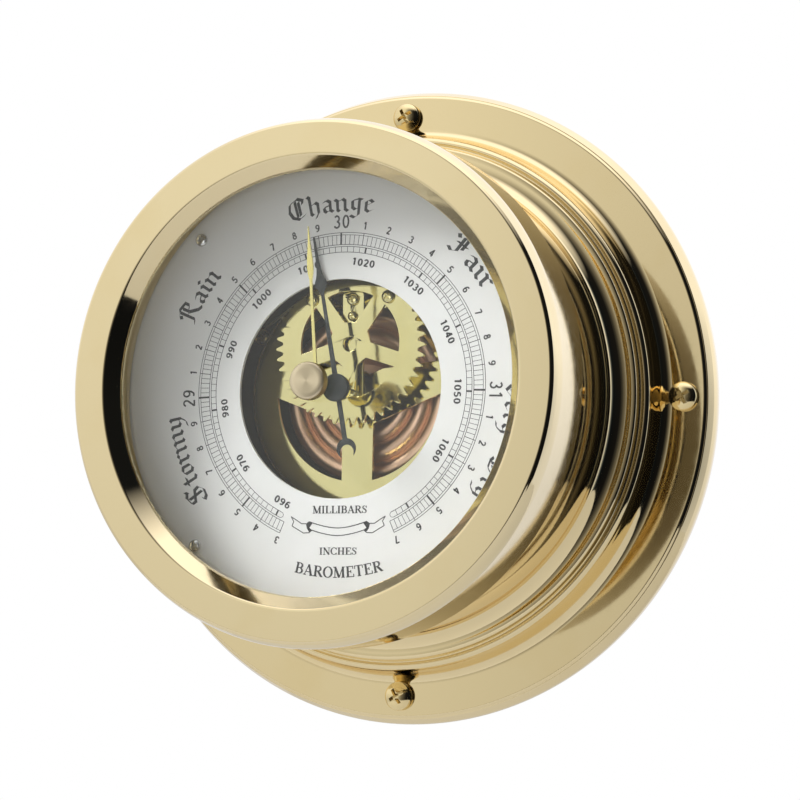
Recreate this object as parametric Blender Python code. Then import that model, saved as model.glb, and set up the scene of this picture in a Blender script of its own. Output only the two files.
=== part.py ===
"""Ship's barometer: a brass case on a wall flange, with the open movement behind a ring dial.

The wall is the plane y = 0 and the dial faces -Y, with +Z up. Every radius is measured from the
case's axis, and every depth is measured forward from the wall, so a depth d lies at y = -d.
Dimensions are millimetres and become metres in one place, point().
"""

import bmesh
import bpy
from math import atan2, cos, degrees, hypot, pi, radians, sin
from mathutils import Matrix, Vector

MM = 0.001

# Case
FLANGE_RADIUS = 90.0
FLANGE_FACE = 9.2
BARREL_RADIUS = 65.5
BARREL_FRONT = 63.6
BARREL_BORE = 63.0
DIAL_SEAT = 51.9
CASE_SEGMENTS = 60
WALL_SCREW_RADIUS = 82.0
WALL_SCREW_REACH = 12.0
BACK_COVER_RADIUS = 46.0
BACK_COVER_THICKNESS = 1.6
COVER_SCREW_RADIUS = 43.8

# Bezel, glass and dial
BEZEL_RADIUS = 69.3
BEZEL_BACK = 55.0
BEZEL_FRONT = 76.0
BEZEL_OPENING = 55.8
GLASS_RADIUS = 64.8
GLASS_BACK = 68.4
GLASS_FRONT = 70.4
DIAL_RADIUS = 63.9
DIAL_OPENING = 29.4
DIAL_BACK = 52.2
DIAL_FACE = 53.2
DIAL_SCREW_RADIUS = 59.2

# Dial reading: the pointer's rest angle and full swing, in degrees clockwise from the top
DEGREES_PER_INCH = 92.1
REST_READING = 29.886
HAND_REST = (REST_READING - 30.0) * DEGREES_PER_INCH
SET_HAND_REST = -4.3

# Skeleton plate: a five-spoked gear outline cut off by a circle about the case's axis
GEAR_CENTRE_Z = 12.6
GEAR_TEETH = 47
GEAR_TIP = 21.9
GEAR_ROOT = 19.9
GEAR_RIM_INSIDE = 14.5
GEAR_HUB = 5.9
GEAR_SPOKE_HALF = 2.15
GEAR_TRIM_RADIUS = 29.2
GEAR_BACK = 45.6
GEAR_FACE = 46.6
PLATE_SCREW_X = 11.2
PLATE_SCREW_Z = 25.0

# Movement frame: a shallow cup with a flat, three-spoked face
FRAME_RADIUS = 33.0
FRAME_FACE = 40.5
FRAME_BACK = 39.5
FRAME_WINDOW = 24.1
FRAME_FOOT = 25.0
FRAME_BAR_HALF = 4.55
FRAME_SEGMENTS = 48

# Movement train
PINION_TEETH = 8
SECTOR_TEETH = 112
SECTOR_X = -10.05
SECTOR_Z = 9.0
MODULE = 0.225
SECTOR_BACK = 41.6
SECTOR_FACE = 42.4
SHAFT_Z = 5.0
SHAFT_DEPTH = 38.0
ARM_X = -15.0
PIN_DEPTH = 42.0
TAIL_REACH = 2.0

# Capsule and what carries it
CAPSULE_RADIUS = 24.4
CAPSULE_CREST = 35.8
CAPSULE_GROOVE = 34.0
PLATE_BACK = 23.2
PLATE_FACE = 24.7
STRIP_BACK = 21.6
STRIP_FACE = 22.9
BASE_BACK = 4.8
BASE_FACE = 6.3
BASE_RADIUS = 57.0
BASE_SCREW_RADIUS = 50.5
ADJUSTER_Z = -16.0

COLOURS = {
    "polished_brass": ((0.80, 0.62, 0.30), 0.12, 1.0),
    "plate_brass": ((0.78, 0.70, 0.38), 0.18, 1.0),
    "dark_brass": ((0.20, 0.16, 0.08), 0.45, 1.0),
    "copper": ((0.72, 0.42, 0.28), 0.28, 1.0),
    "steel": ((0.62, 0.62, 0.60), 0.25, 1.0),
    "black_steel": ((0.03, 0.035, 0.035), 0.40, 0.6),
    "dial_white": ((0.86, 0.86, 0.84), 0.45, 0.0),
    "glass_clear": ((0.90, 0.94, 0.93), 0.03, 0.0),
}


def clear_scene():
    for obj in list(bpy.data.objects):
        bpy.data.objects.remove(obj, do_unlink=True)


def point(x, depth, z):
    return Vector((x * MM, -depth * MM, z * MM))


def polar(radius, angle, x=0.0, z=0.0):
    """The (x, z) at this radius, with the angle in degrees anticlockwise from +X."""
    return x + radius * cos(radians(angle)), z + radius * sin(radians(angle))


def arc(radius, start, end, steps, x=0.0, z=0.0):
    return [polar(radius, start + (end - start) * i / steps, x, z) for i in range(steps + 1)]


def material(name):
    found = bpy.data.materials.get(name)
    if found:
        return found
    colour, roughness, metallic = COLOURS[name]
    made = bpy.data.materials.new(name)
    made.use_nodes = True
    shader = made.node_tree.nodes["Principled BSDF"]
    shader.inputs["Base Color"].default_value = (*colour, 1.0)
    shader.inputs["Roughness"].default_value = roughness
    shader.inputs["Metallic"].default_value = metallic
    return made


def finish(name, bm, look, axis=None, smooth=True):
    """An object from this bmesh, with its origin on its own axis when it has one."""
    bmesh.ops.recalc_face_normals(bm, faces=bm.faces)
    mesh = bpy.data.meshes.new(name)
    bm.to_mesh(mesh)
    bm.free()
    obj = bpy.data.objects.new(name, mesh)
    bpy.context.scene.collection.objects.link(obj)
    if axis is not None:
        mesh.transform(Matrix.Translation(-axis))
        obj.location = axis
    if smooth:
        mesh.shade_smooth()
        mesh.set_sharp_from_angle(angle=radians(35))
    if look:
        mesh.materials.append(material(look))
    return obj


def lathe_bmesh(profile, segments, x, z, solid):
    """A profile of (radius, depth) turned about the line through (x, z) along Y.

    A solid is capped at the profile's two ends; otherwise the profile closes into a ring. Away
    from the case's axis the first corner is turned off the case's own edges.
    """
    first_angle = 7 if x or z else 0
    bm = bmesh.new()
    rings = []
    for radius, depth in profile:
        spots = [polar(radius, first_angle + 360 * i / segments, x, z) for i in range(segments)]
        rings.append([bm.verts.new(point(px, depth, pz)) for px, pz in spots])
    pairs = list(zip(rings, rings[1:]))
    if solid:
        bm.faces.new(rings[0])
        bm.faces.new(rings[-1])
    else:
        pairs.append((rings[-1], rings[0]))
    for first, second in pairs:
        for i in range(segments):
            j = (i + 1) % segments
            bm.faces.new([first[i], second[i], second[j], first[j]])
    return bm


def lathe(name, profile, look, segments=CASE_SEGMENTS, x=0.0, z=0.0, axis=None, solid=False):
    return finish(name, lathe_bmesh(profile, segments, x, z, solid), look, axis)


def spindle(name, profile, look, segments=16, x=0.0, z=0.0, axis=None):
    return lathe(name, profile, look, segments, x, z, axis, solid=True)


def tube(name, inner, outer, back, front, look, segments=32, x=0.0, z=0.0, axis=None):
    profile = [(inner, back), (outer, back), (outer, front), (inner, front)]
    return lathe(name, profile, look, segments, x, z, axis)


def rod(name, radius, back, front, look, segments=16, x=0.0, z=0.0, axis=None):
    return spindle(name, [(radius, back), (radius, front)], look, segments, x, z, axis)


def prism_bmesh(outline, back, front):
    """An outline of (x, z) extruded from one depth to another."""
    bm = bmesh.new()
    base = bm.faces.new([bm.verts.new(point(x, back, z)) for x, z in outline])
    made = bmesh.ops.extrude_face_region(bm, geom=[base])["geom"]
    moved = [item for item in made if isinstance(item, bmesh.types.BMVert)]
    bmesh.ops.translate(bm, verts=moved, vec=point(0, front - back, 0))
    return bm


def prism(name, outline, back, front, look, axis=None):
    return finish(name, prism_bmesh(outline, back, front), look, axis, smooth=False)


def side_prism(name, outline, left, right, look, axis=None):
    """An outline of (depth, z) extruded along X."""
    bm = bmesh.new()
    base = bm.faces.new([bm.verts.new(point(left, depth, z)) for depth, z in outline])
    made = bmesh.ops.extrude_face_region(bm, geom=[base])["geom"]
    moved = [item for item in made if isinstance(item, bmesh.types.BMVert)]
    bmesh.ops.translate(bm, verts=moved, vec=point(right - left, 0, 0))
    return finish(name, bm, look, axis, smooth=False)


def boolean(obj, other, operation="DIFFERENCE"):
    other.hide_render = True
    other.display_type = "WIRE"
    cut = obj.modifiers.new(f"{operation.lower()}_{other.name}", "BOOLEAN")
    cut.operation = operation
    cut.solver = "EXACT"
    cut.object = other
    return obj


def drill(obj, radius, back, front, x, z, segments=16):
    hole = rod(f"hole_{obj.name}_{len(obj.modifiers)}", radius, back, front, None, segments, x, z)
    return boolean(obj, hole)


def cross_outline(reach, half, x, z, turn):
    """The plus-shaped outline of a cross recess."""
    corner = [(reach, -half), (reach, half), (half, half)]
    spots = []
    for quarter in range(4):
        a = radians(90 * quarter + turn)
        spots += [(x + u * cos(a) - v * sin(a), z + u * sin(a) + v * cos(a)) for u, v in corner]
    return spots


def cross_head_screw(name, x, z, seat, head, height, shank, tip, look, turn=0.0):
    """A round-head screw with a cross recess, whose head sits on the depth seat."""
    profile = [(shank, tip), (shank, seat), (head, seat), (head, seat + height * 0.3)]
    profile += [(head * 0.85, seat + height * 0.7), (head * 0.4, seat + height)]
    screw = spindle(name, profile, look, 14, x, z)
    outline = cross_outline(head * 0.52, head * 0.13, x, z, turn)
    cutter = prism(f"recess_{name}", outline, seat + height * 0.45, seat + height + 1, None)
    return boolean(screw, cutter)


def round_box(half_x, low_z, high_z, radius, steps=5):
    """A bar's outline with fully rounded corners, from low_z to high_z."""
    spots = arc(radius, 0, 90, steps, half_x - radius, high_z - radius)
    spots += arc(radius, 90, 180, steps, radius - half_x, high_z - radius)
    spots += arc(radius, 180, 270, steps, radius - half_x, low_z + radius)
    spots += arc(radius, 270, 360, steps, half_x - radius, low_z + radius)
    return spots


def case_body():
    """Flange, hollow at the back, two beads, cove and barrel, with the dial's ledge and a rear wall."""
    rim = [(87.4, 0.0), (89.4, 0.9), (FLANGE_RADIUS, 2.8), (FLANGE_RADIUS, 5.0), (89.3, 6.9)]
    face = [(88.3, 7.9), (86.3, FLANGE_FACE), (77.8, FLANGE_FACE), (76.2, 10.4), (75.2, 12.6)]
    beads = [(74.6, 15.6), (74.4, 17.4), (73.2, 17.9), (72.2, 17.6), (72.0, 19.2), (71.2, 19.9)]
    cove = [(BARREL_RADIUS + 5.2 * (1 - sin(a)), 25.0 - 5.2 * cos(a)) for a in (0.1, 0.6, 1.1, pi / 2)]
    front = [(BARREL_RADIUS, BARREL_FRONT - 0.5), (65.0, BARREL_FRONT), (64.25, BARREL_FRONT)]
    ledge = [(64.25, DIAL_SEAT), (55.5, DIAL_SEAT), (55.5, 48.9), (BARREL_BORE, 45.0)]
    rear = [(BARREL_BORE, 4.5), (41.5, 4.5), (41.5, 1.9), (46.3, 1.9), (46.3, 0.0), (67.6, 0.0)]
    hollow = [(67.8, 14.6), (72.4, 14.4), (76.8, 6.6), (85.0, 6.4), (85.2, 0.0)]
    outside = rim + face + beads + cove
    body = lathe("case_body", outside + front + ledge + rear + hollow, "polished_brass")
    for quarter in range(4):
        x, z = polar(WALL_SCREW_RADIUS, 90 * quarter)
        drill(body, 2.2, -1, 11, x, z)
        x, z = polar(DIAL_SCREW_RADIUS, 45 + 90 * quarter)
        drill(body, 1.15, 43, 53, x, z, 12)
    for third in range(3):
        x, z = polar(BASE_SCREW_RADIUS, base_screw_angle(third))
        drill(body, 1.7, -1, 6, x, z, 12)
        x, z = polar(COVER_SCREW_RADIUS, 30 + 120 * third)
        drill(body, 1.15, 1, 6, x, z, 12)


def base_screw_angle(third):
    return 155.6 - 120 * third


def back_cover():
    """The disc let into the back, with a hole for reaching the adjusting screw."""
    cover = rod("back_cover", BACK_COVER_RADIUS, 0, BACK_COVER_THICKNESS, "dark_brass", CASE_SEGMENTS)
    drill(cover, 3.2, -1, 3, 0, ADJUSTER_Z)
    for third in range(3):
        x, z = polar(COVER_SCREW_RADIUS, 30 + 120 * third)
        sink = [(2.9, -1), (1.15, 1.1), (1.15, 3)]
        boolean(cover, spindle(f"sink_{third}", sink, None, 14, x, z))
        head = [(1.6, 0.1), (0.95, 0.95), (0.95, 4.0)]
        screw = spindle(f"back_cover_screw_{third + 1}", head, "steel", 14, x, z)
        slot = [(x - 2, z - 0.25), (x + 2, z - 0.25), (x + 2, z + 0.25), (x - 2, z + 0.25)]
        boolean(screw, prism(f"slot_{third}", slot, -1, 0.5, None))


def wall_screws():
    for quarter in range(4):
        x, z = polar(WALL_SCREW_RADIUS, 90 - 90 * quarter)
        name = f"wall_screw_{quarter + 1}"
        seat = FLANGE_FACE + 0.3
        cross_head_screw(name, x, z, seat, 4.0, 3.1, 1.95, -WALL_SCREW_REACH, "polished_brass", 30)


def bezel():
    """The heavy front ring, with a rounded outer edge and a sloped lip over the glass."""
    outside = [(68.7, BEZEL_BACK), (BEZEL_RADIUS, 55.8), (BEZEL_RADIUS, 70.2), (69.0, 72.6)]
    front = [(68.4, 74.2), (67.4, 75.4), (66.2, 75.9), (59.4, BEZEL_FRONT), (58.7, 75.6)]
    lip = [(56.0, 72.2), (BEZEL_OPENING, 71.8), (BEZEL_OPENING, 70.8), (65.2, 70.8)]
    inside = [(65.2, 64.2), (65.9, 64.2), (65.9, 55.4), (66.3, BEZEL_BACK)]
    lathe("bezel", outside + front + lip + inside, "polished_brass")


def glass_and_rings():
    tube("glass", 2.3, GLASS_RADIUS, GLASS_BACK, GLASS_FRONT, "glass_clear", CASE_SEGMENTS)
    tube("glass_retaining_ring", 63.2, 64.9, 66.8, 68.1, "steel", CASE_SEGMENTS)
    tube("dial_spacer_ring", 63.2, 63.95, 53.5, 66.5, "polished_brass", CASE_SEGMENTS)


def dial():
    plate = tube("dial_plate", DIAL_OPENING, DIAL_RADIUS, DIAL_BACK, DIAL_FACE, "dial_white", CASE_SEGMENTS)
    for quarter in range(4):
        x, z = polar(DIAL_SCREW_RADIUS, 135 - 90 * quarter)
        drill(plate, 1.15, 51, 55, x, z, 12)
        name = f"dial_screw_{quarter + 1}"
        cross_head_screw(name, x, z, DIAL_FACE + 0.1, 1.75, 1.2, 0.95, 49.4, "steel", 20)


def knurl(teeth, root, tip):
    spots = []
    for tooth in range(teeth):
        spots.append(polar(tip, 360 * tooth / teeth))
        spots.append(polar(root, 360 * (tooth + 0.5) / teeth))
    return spots


def set_pointer():
    """The knob in front of the glass, its spindle, and the brass hand that marks a past reading."""
    axis = point(0, GLASS_FRONT, 0)
    knob = prism("set_knob", knurl(56, 4.75, 5.0), 71.2, 74.4, "polished_brass", axis)
    boolean(knob, rod("knob_bore", 1.25, 70, 73.2, None, 20))
    rod("set_spindle", 1.2, 66.8, 73.0, "polished_brass", 20, axis=axis)
    bush = [(1.3, 68.3), (2.1, 68.3), (2.1, 70.5), (3.4, 70.5), (3.4, 70.8), (1.3, 70.8)]
    lathe("glass_bush", bush, "polished_brass", 24)
    tube("set_spring_washer", 1.5, 2.9, 67.85, 68.2, "steel", 24)
    hand = prism("set_hand", set_hand_outline(), 67.1, 67.6, "plate_brass", axis)
    boolean(hand, rod("set_hand_bore", 1.25, 66, 69, None, 16))


def turned(outline, clockwise):
    """An outline drawn with the hand upright, turned clockwise as seen from the front."""
    a = radians(clockwise)
    return [(x * cos(a) + z * sin(a), z * cos(a) - x * sin(a)) for x, z in outline]


def mirrored(side):
    """A closed outline from its right-hand side, listed from the bottom to the top."""
    return side + [(-x, z) for x, z in reversed(side) if x != 0]


def set_hand_outline():
    hub = [polar(2.5, a) for a in (-90, -60, -30, 0, 30, 60)]
    shaft = [(0.55, 2.9), (0.45, 27.4)]
    leaf = [(1.0, 28.6), (1.3, 30.2), (1.1, 31.8), (0.6, 33.8), (0.3, 36.5), (0.12, 41.6)]
    return turned(mirrored(hub + shaft + leaf), SET_HAND_REST)


def pressure_hand_outline():
    """From the crescent tail, through the shaft and the leaf, to the needle tip."""
    tail_z, outer, inner, drop = -16.5, 2.75, 2.0, 1.0
    hollow = arc(inner, 90, -12, 6, 0, tail_z - drop)
    horn = [(x, z) for x, z in arc(outer, -50, 76, 8, 0, tail_z)]
    shaft = [(0.65, -13.4), (0.68, 0.0), (0.72, 3.0), (0.42, 25.8)]
    leaf = [(1.2, 27.0), (1.75, 28.8), (1.25, 30.4), (0.75, 32.0), (0.5, 34.0), (0.18, 41.6)]
    return turned(mirrored(hollow + horn + shaft + leaf), HAND_REST)


def pressure_hand():
    """The hand with its hub, collet, arbor and pinion."""
    axis = point(0, FRAME_FACE, 0)
    hand = prism("pressure_hand", pressure_hand_outline(), 54.1, 54.5, "black_steel", axis)
    boolean(hand, rod("hand_bore", 0.65, 53, 56, None, 12))
    cap = [(3.75, 54.8), (3.75, 55.6), (3.5, 55.9)]
    hub = spindle("hand_hub", cap, "black_steel", 32, axis=axis)
    boolean(hub, rod("hub_bore", 0.65, 54, 55.4, None, 12))
    tube("hand_collet", 0.65, 3.5, 52.9, 53.8, "polished_brass", 32, axis=axis)
    arbor = [(0.4, 39.2), (0.4, 40.8), (0.6, 40.8), (0.6, 55.2)]
    spindle("hand_arbor", arbor, "steel", 16, axis=axis)
    gear = prism("hand_pinion", pinion_outline(), 41.3, 42.7, "steel", axis)
    boolean(gear, rod("pinion_bore", 0.64, 40, 44, None, 16))


def pinion_outline():
    """Pointed teeth, with the gap between two of them facing the sector gear's pivot."""
    gap = degrees(atan2(SECTOR_Z, SECTOR_X))
    half_step = 180 / PINION_TEETH
    return [polar(1.05 if i % 2 else 0.7, gap + half_step * i) for i in range(2 * PINION_TEETH)]


def gear_outline():
    """Pointed teeth with narrow flats, drawn about the gear's own centre."""
    step = 360 / GEAR_TEETH
    spots = []
    for tooth in range(GEAR_TEETH):
        start = 90 + step * tooth
        spots.append(polar(GEAR_TIP, start - step * 0.10, 0, GEAR_CENTRE_Z))
        spots.append(polar(GEAR_TIP, start + step * 0.10, 0, GEAR_CENTRE_Z))
        spots.append(polar(GEAR_ROOT, start + step * 0.42, 0, GEAR_CENTRE_Z))
        spots.append(polar(GEAR_ROOT, start + step * 0.58, 0, GEAR_CENTRE_Z))
    return spots


def gear_window(middle):
    """The opening between two spokes, centred on this direction from the gear's centre."""
    spoke = degrees(atan2(GEAR_SPOKE_HALF, hypot(GEAR_RIM_INSIDE, GEAR_SPOKE_HALF)))
    spots = arc(GEAR_RIM_INSIDE, middle - 36 + spoke, middle + 36 - spoke, 8, 0, GEAR_CENTRE_Z)
    along = GEAR_SPOKE_HALF / sin(radians(36))
    half = (GEAR_HUB - along) * sin(radians(36)) / cos(radians(36))
    a = radians(middle)
    for side in (half, -half):
        x = GEAR_HUB * cos(a) - side * sin(a)
        spots.append((x, GEAR_CENTRE_Z + GEAR_HUB * sin(a) + side * cos(a)))
    return spots


def skeleton_plate():
    """The gear-shaped front plate, its two screws and the posts it stands on."""
    plate = prism("gear_plate", gear_outline(), GEAR_BACK, GEAR_FACE, "plate_brass")
    boolean(plate, rod("gear_trim", GEAR_TRIM_RADIUS, 44, 48, None, CASE_SEGMENTS), "INTERSECT")
    for i in range(5):
        window = prism(f"gear_window_{i}", gear_window(90 + 72 * i), 44, 48, None)
        boolean(plate, window)
    drill(plate, 2.05, 44, 48, 0, GEAR_CENTRE_Z, 24)
    drill(plate, 1.5, 44, 48, 0, 0)
    drill(plate, 0.5, 44, 46.2, SECTOR_X, SECTOR_Z, 12)
    for side, label in ((-1, "left"), (1, "right")):
        x = side * PLATE_SCREW_X
        drill(plate, 1.2, 44, 48, x, PLATE_SCREW_Z, 12)
        post = tube(f"gear_plate_post_{label}", 1.2, 2.1, 30, 45.3, "plate_brass", 16, x, PLATE_SCREW_Z)
        fit_to_frame(post)
        name = f"gear_plate_screw_{label}"
        seat = GEAR_FACE + 0.1
        cross_head_screw(name, x, PLATE_SCREW_Z, seat, 1.8, 1.3, 1.0, 41.0, "plate_brass", 40)


def frame_outside():
    """The frame's outer surface, as (radius, depth) from the foot to the face."""
    curve = [(32.7, 38.4), (32.0, 39.6), (31.0, 40.3)]
    return [(FRAME_RADIUS, FRAME_FOOT), (FRAME_RADIUS, 37.0)] + curve + [(29.8, FRAME_FACE)]


def fit_to_frame(obj):
    """Cuts a foot so that it stands just clear of the frame."""
    profile = [(radius + 0.3, depth + 0.15) for radius, depth in frame_outside()]
    profile[0] = (FRAME_RADIUS + 0.3, 20.0)
    return boolean(obj, spindle(f"frame_shape_{obj.name}", profile, None, FRAME_SEGMENTS))


def lower_window(side):
    """One of the two openings beside the lower bar: side is -1 for the left, 1 for the right."""
    edge = degrees(atan2(FRAME_BAR_HALF, FRAME_WINDOW))
    spots = arc(FRAME_WINDOW, -1.8, edge - 90, 12)
    spots.append((FRAME_BAR_HALF, -8.4))
    return [(side * x, z) for x, z in spots]


def upper_window():
    """The wide opening above the side spokes, with a lug left for the sector gear's pivot."""
    spots = arc(FRAME_WINDOW, 19.5, 160.5, 20)
    spots += [(-13.2, 6.8), (-13.2, 11.2), (-7.2, 11.2), (-7.2, 6.4)]
    spots += arc(6.0, 125, 55, 4)
    return spots + [(7.2, 6.4)]


def movement_frame():
    inner = [(29.6, FRAME_BACK), (30.7, 39.2), (31.6, 38.2), (31.9, 37.0)]
    profile = frame_outside() + [(0.46, FRAME_FACE), (0.46, FRAME_BACK)] + inner + [(31.9, FRAME_FOOT)]
    frame = lathe("movement_frame", profile, "plate_brass", FRAME_SEGMENTS)
    for side, label in ((-1, "left"), (1, "right")):
        boolean(frame, prism(f"window_{label}", lower_window(side), 36, 42, None))
    boolean(frame, prism("window_top", upper_window(), 36, 42, None))
    for x in (-18.0, 5.7):
        lug = [(FRAME_BACK + 0.4, 3.4), (FRAME_BACK + 0.4, 5.9), (36.8, 5.9), (36.8, 3.4)]
        boolean(frame, side_prism(f"lug_{x}", lug, x - 0.6, x + 0.6, None), "UNION")
        hole = side_circle(0.46, SHAFT_DEPTH, SHAFT_Z, 12)
        boolean(frame, side_prism(f"pivot_{x}", hole, x - 1, x + 1, None))
    drill(frame, 0.46, 39, 42, SECTOR_X, SECTOR_Z, 12)


def circle_angles(count):
    return [2 * pi * i / count for i in range(count)]


def hand_bridge():
    """The upright bar that carries the hand arbor's front bearing, on its own block."""
    bar = round_box(3.1, -3.4, 27.4, 1.6)
    bridge = prism("hand_bridge", bar, 43.6, 44.6, "plate_brass")
    drill(bridge, 0.65, 43, 46, 0, 0)
    block = prism("bridge_block", round_box(2.9, 18.4, 27.2, 1.0), 34, 43.3, "plate_brass")
    fit_to_frame(block)
    for number, (z, head) in enumerate(((25.0, 1.7), (20.4, 1.35)), 1):
        drill(bridge, 1.0, 43, 46, 0, z, 12)
        drill(block, 1.0, 30, 46, 0, z, 12)
        name = f"bridge_screw_{number}"
        cross_head_screw(name, 0, z, 44.7, head, 1.2, 0.8, 41.2, "plate_brass", 15)


def sector_outline():
    """A toothed arc, and on the far side of the pivot a short forked tail for the drive arm's pin."""
    pitch = SECTOR_TEETH * MODULE / 2
    toward = degrees(atan2(-SECTOR_Z, -SECTOR_X))
    step = 360 / SECTOR_TEETH
    spots = []
    for tooth in range(-5, 6):
        middle = toward + step * tooth
        spots.append(polar(pitch - 0.40, middle - step * 0.40))
        spots.append(polar(pitch + 0.05, middle - step * 0.07))
        spots.append(polar(pitch + 0.05, middle + step * 0.07))
        spots.append(polar(pitch - 0.40, middle + step * 0.40))
    spots += [polar(2.2, a) for a in (18, 68, 110)]
    fork = [(-0.5, 1.4), (-0.5, 0.55), (0.65, 0.55), (0.65, -0.55), (-0.5, -0.55), (-0.5, -1.4)]
    spots += [(x - TAIL_REACH, z) for x, z in fork]
    spots += [polar(2.2, a) for a in (250, 280)]
    return [(SECTOR_X + x, SECTOR_Z + z) for x, z in spots]


def sector():
    axis = point(SECTOR_X, FRAME_FACE, SECTOR_Z)
    plate = prism("sector_gear", sector_outline(), SECTOR_BACK, SECTOR_FACE, "plate_brass", axis)
    boolean(plate, rod("sector_bore", 0.85, 41, 43, None, 16, SECTOR_X, SECTOR_Z))
    arbor = [(0.4, 39.2), (0.4, 40.8), (0.8, 40.8), (0.8, 45.2), (0.4, 45.2), (0.4, 46.0)]
    spindle("sector_arbor", arbor, "steel", 12, SECTOR_X, SECTOR_Z, axis)


def hairspring():
    """A flat spiral about the hand arbor, its outer end by the bridge."""
    turns, steps, inner, growth, half = 4, 56, 1.3, 0.72, 0.09
    side = []
    for i in range(steps + 1):
        turn = turns * i / steps
        side.append((inner + growth * turn, 360 * turn))
    outline = [polar(radius + half, angle) for radius, angle in side]
    outline += [polar(radius - half, angle) for radius, angle in reversed(side)]
    bm = bmesh.new()
    layers = []
    for depth in (42.9, 43.3):
        layers.append([bm.verts.new(point(x, depth, z)) for x, z in outline])
    count = len(outline)
    for i in range(count):
        j = (i + 1) % count
        bm.faces.new([layers[0][i], layers[0][j], layers[1][j], layers[1][i]])
    for layer in layers:
        for i in range(steps):
            j = count - 1 - i
            bm.faces.new([layer[i], layer[i + 1], layer[j - 1], layer[j]])
    finish("hairspring", bm, "steel")


def side_circle(radius, depth, z, count):
    return [(depth + radius * cos(a), z + radius * sin(a)) for a in circle_angles(count)]


def side_spindle(name, profile, depth, z, look, axis):
    """A profile of (x, radius) turned about the line through (depth, z) along X."""
    bm = bmesh.new()
    rings = []
    for x, radius in profile:
        spots = side_circle(radius, depth, z, 16)
        rings.append([bm.verts.new(point(x, y, height)) for y, height in spots])
    for first, second in zip(rings, rings[1:]):
        for i in range(16):
            j = (i + 1) % 16
            bm.faces.new([first[i], first[j], second[j], second[i]])
    bm.faces.new(rings[0])
    bm.faces.new(rings[-1])
    return finish(name, bm, look, axis)


def arm_on_hub(start, end, tip):
    """The outline of a hub round the rocking shaft, from one angle to another, with an arm."""
    hub = [radians(start + (end - start) * i / 12) for i in range(13)]
    return [(SHAFT_DEPTH + 1.2 * cos(a), SHAFT_Z + 1.2 * sin(a)) for a in hub] + tip


def rocker():
    """The shaft behind the frame that turns the capsule's rise into the sector's swing."""
    axis = point(0, SHAFT_DEPTH, SHAFT_Z)
    shaft = [(-18.7, 0.4), (-17.3, 0.4), (-17.3, 0.6), (5.0, 0.6), (5.0, 0.4), (6.4, 0.4)]
    side_spindle("rocking_shaft", shaft, SHAFT_DEPTH, SHAFT_Z, "steel", axis)
    lever = arm_on_hub(-70.5, 250.5, [(37.6, -1.2), (38.4, -1.2)])
    lever = side_prism("rocker_lever", lever, -1.2, 1.2, "steel", axis)
    top = SECTOR_Z + 0.5
    tip = [(38.5, top - 1.1), (42.8, top - 1.1), (42.8, top), (37.5, top)]
    arm = arm_on_hub(114.6, 425.4, tip)
    arm = side_prism("drive_arm", arm, ARM_X - 0.4, ARM_X + 0.4, "steel", axis)
    bore = side_circle(0.64, SHAFT_DEPTH, SHAFT_Z, 16)
    boolean(lever, side_prism("lever_bore", bore, -2, 2, None))
    boolean(arm, side_prism("arm_bore", bore, ARM_X - 1, ARM_X + 1, None))
    pin = side_circle(0.3, PIN_DEPTH, SECTOR_Z, 10)
    reach = SECTOR_X - TAIL_REACH + 0.4
    boolean(arm, side_prism("arm_pin", pin, ARM_X, reach, None), "UNION")


def capsule():
    """The corrugated copper box whose front rises as the air pressure falls."""
    profile = [(22.8, 29.6), (23.8, 30.6), (CAPSULE_RADIUS, 32.0), (23.6, CAPSULE_GROOVE)]
    for crest in (21.3, 16.2, 11.1):
        profile += [(crest + 1.2, CAPSULE_CREST), (crest - 1.2, CAPSULE_CREST)]
        profile += [(crest - 2.0, CAPSULE_GROOVE), (crest - 3.1, CAPSULE_GROOVE)]
    spindle("capsule", profile[:-1], "copper", 40)
    axis = point(0, CAPSULE_GROOVE, 0)
    stud = [(1.6, 34.7), (1.6, 35.4), (1.0, 35.4), (1.0, 37.2)]
    spindle("capsule_stud", stud, "steel", 16, axis=axis)
    post = [(1.5, 19.2), (1.5, 23.2), (2.6, 23.2), (2.6, 29.3)]
    spindle("capsule_post", post, "dark_brass", 16)
    nut = prism("capsule_nut", [polar(3.4, 60 * i) for i in range(6)], 19.6, 21.3, "steel")
    boolean(nut, rod("nut_bore", 1.56, 19, 22, None, 16))


def capsule_carrier():
    """The plate under the capsule, the strip behind it, and the screw that tilts the strip."""
    plate = rod("capsule_plate", FRAME_RADIUS, PLATE_BACK, PLATE_FACE, "dark_brass", FRAME_SEGMENTS)
    drill(plate, 3.2, 22, 26, 0, 0)
    drill(plate, 1.2, 22, 26, 0, 17.0, 12)
    strip = prism("carrier_strip", round_box(4.0, -19.0, 20.0, 2.0), STRIP_BACK, STRIP_FACE, "steel")
    drill(strip, 1.8, 21, 24, 0, 0)
    drill(strip, 1.2, 21, 24, 0, 17.0, 12)
    head = [(2.4, 19.9), (2.4, 21.3), (1.0, 21.3), (1.0, 24.4)]
    slotted("carrier_screw", head, 0, 17.0, 19.9, None)
    axis = point(0, 21.2, ADJUSTER_Z)
    head = [(2.6, 2.6), (2.6, 4.5), (1.5, 4.5), (1.5, 21.2)]
    slotted("adjusting_screw", head, 0, ADJUSTER_Z, 2.6, axis)


def slotted(name, profile, x, z, head_back, axis):
    """A screw whose slotted head faces the back."""
    screw = spindle(name, profile, "steel", 16, x, z, axis)
    slot = [(x - 4, z - 0.35), (x + 4, z - 0.35), (x + 4, z + 0.35), (x - 4, z + 0.35)]
    return boolean(screw, prism(f"slot_{name}", slot, head_back - 1, head_back + 0.7, None))


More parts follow.
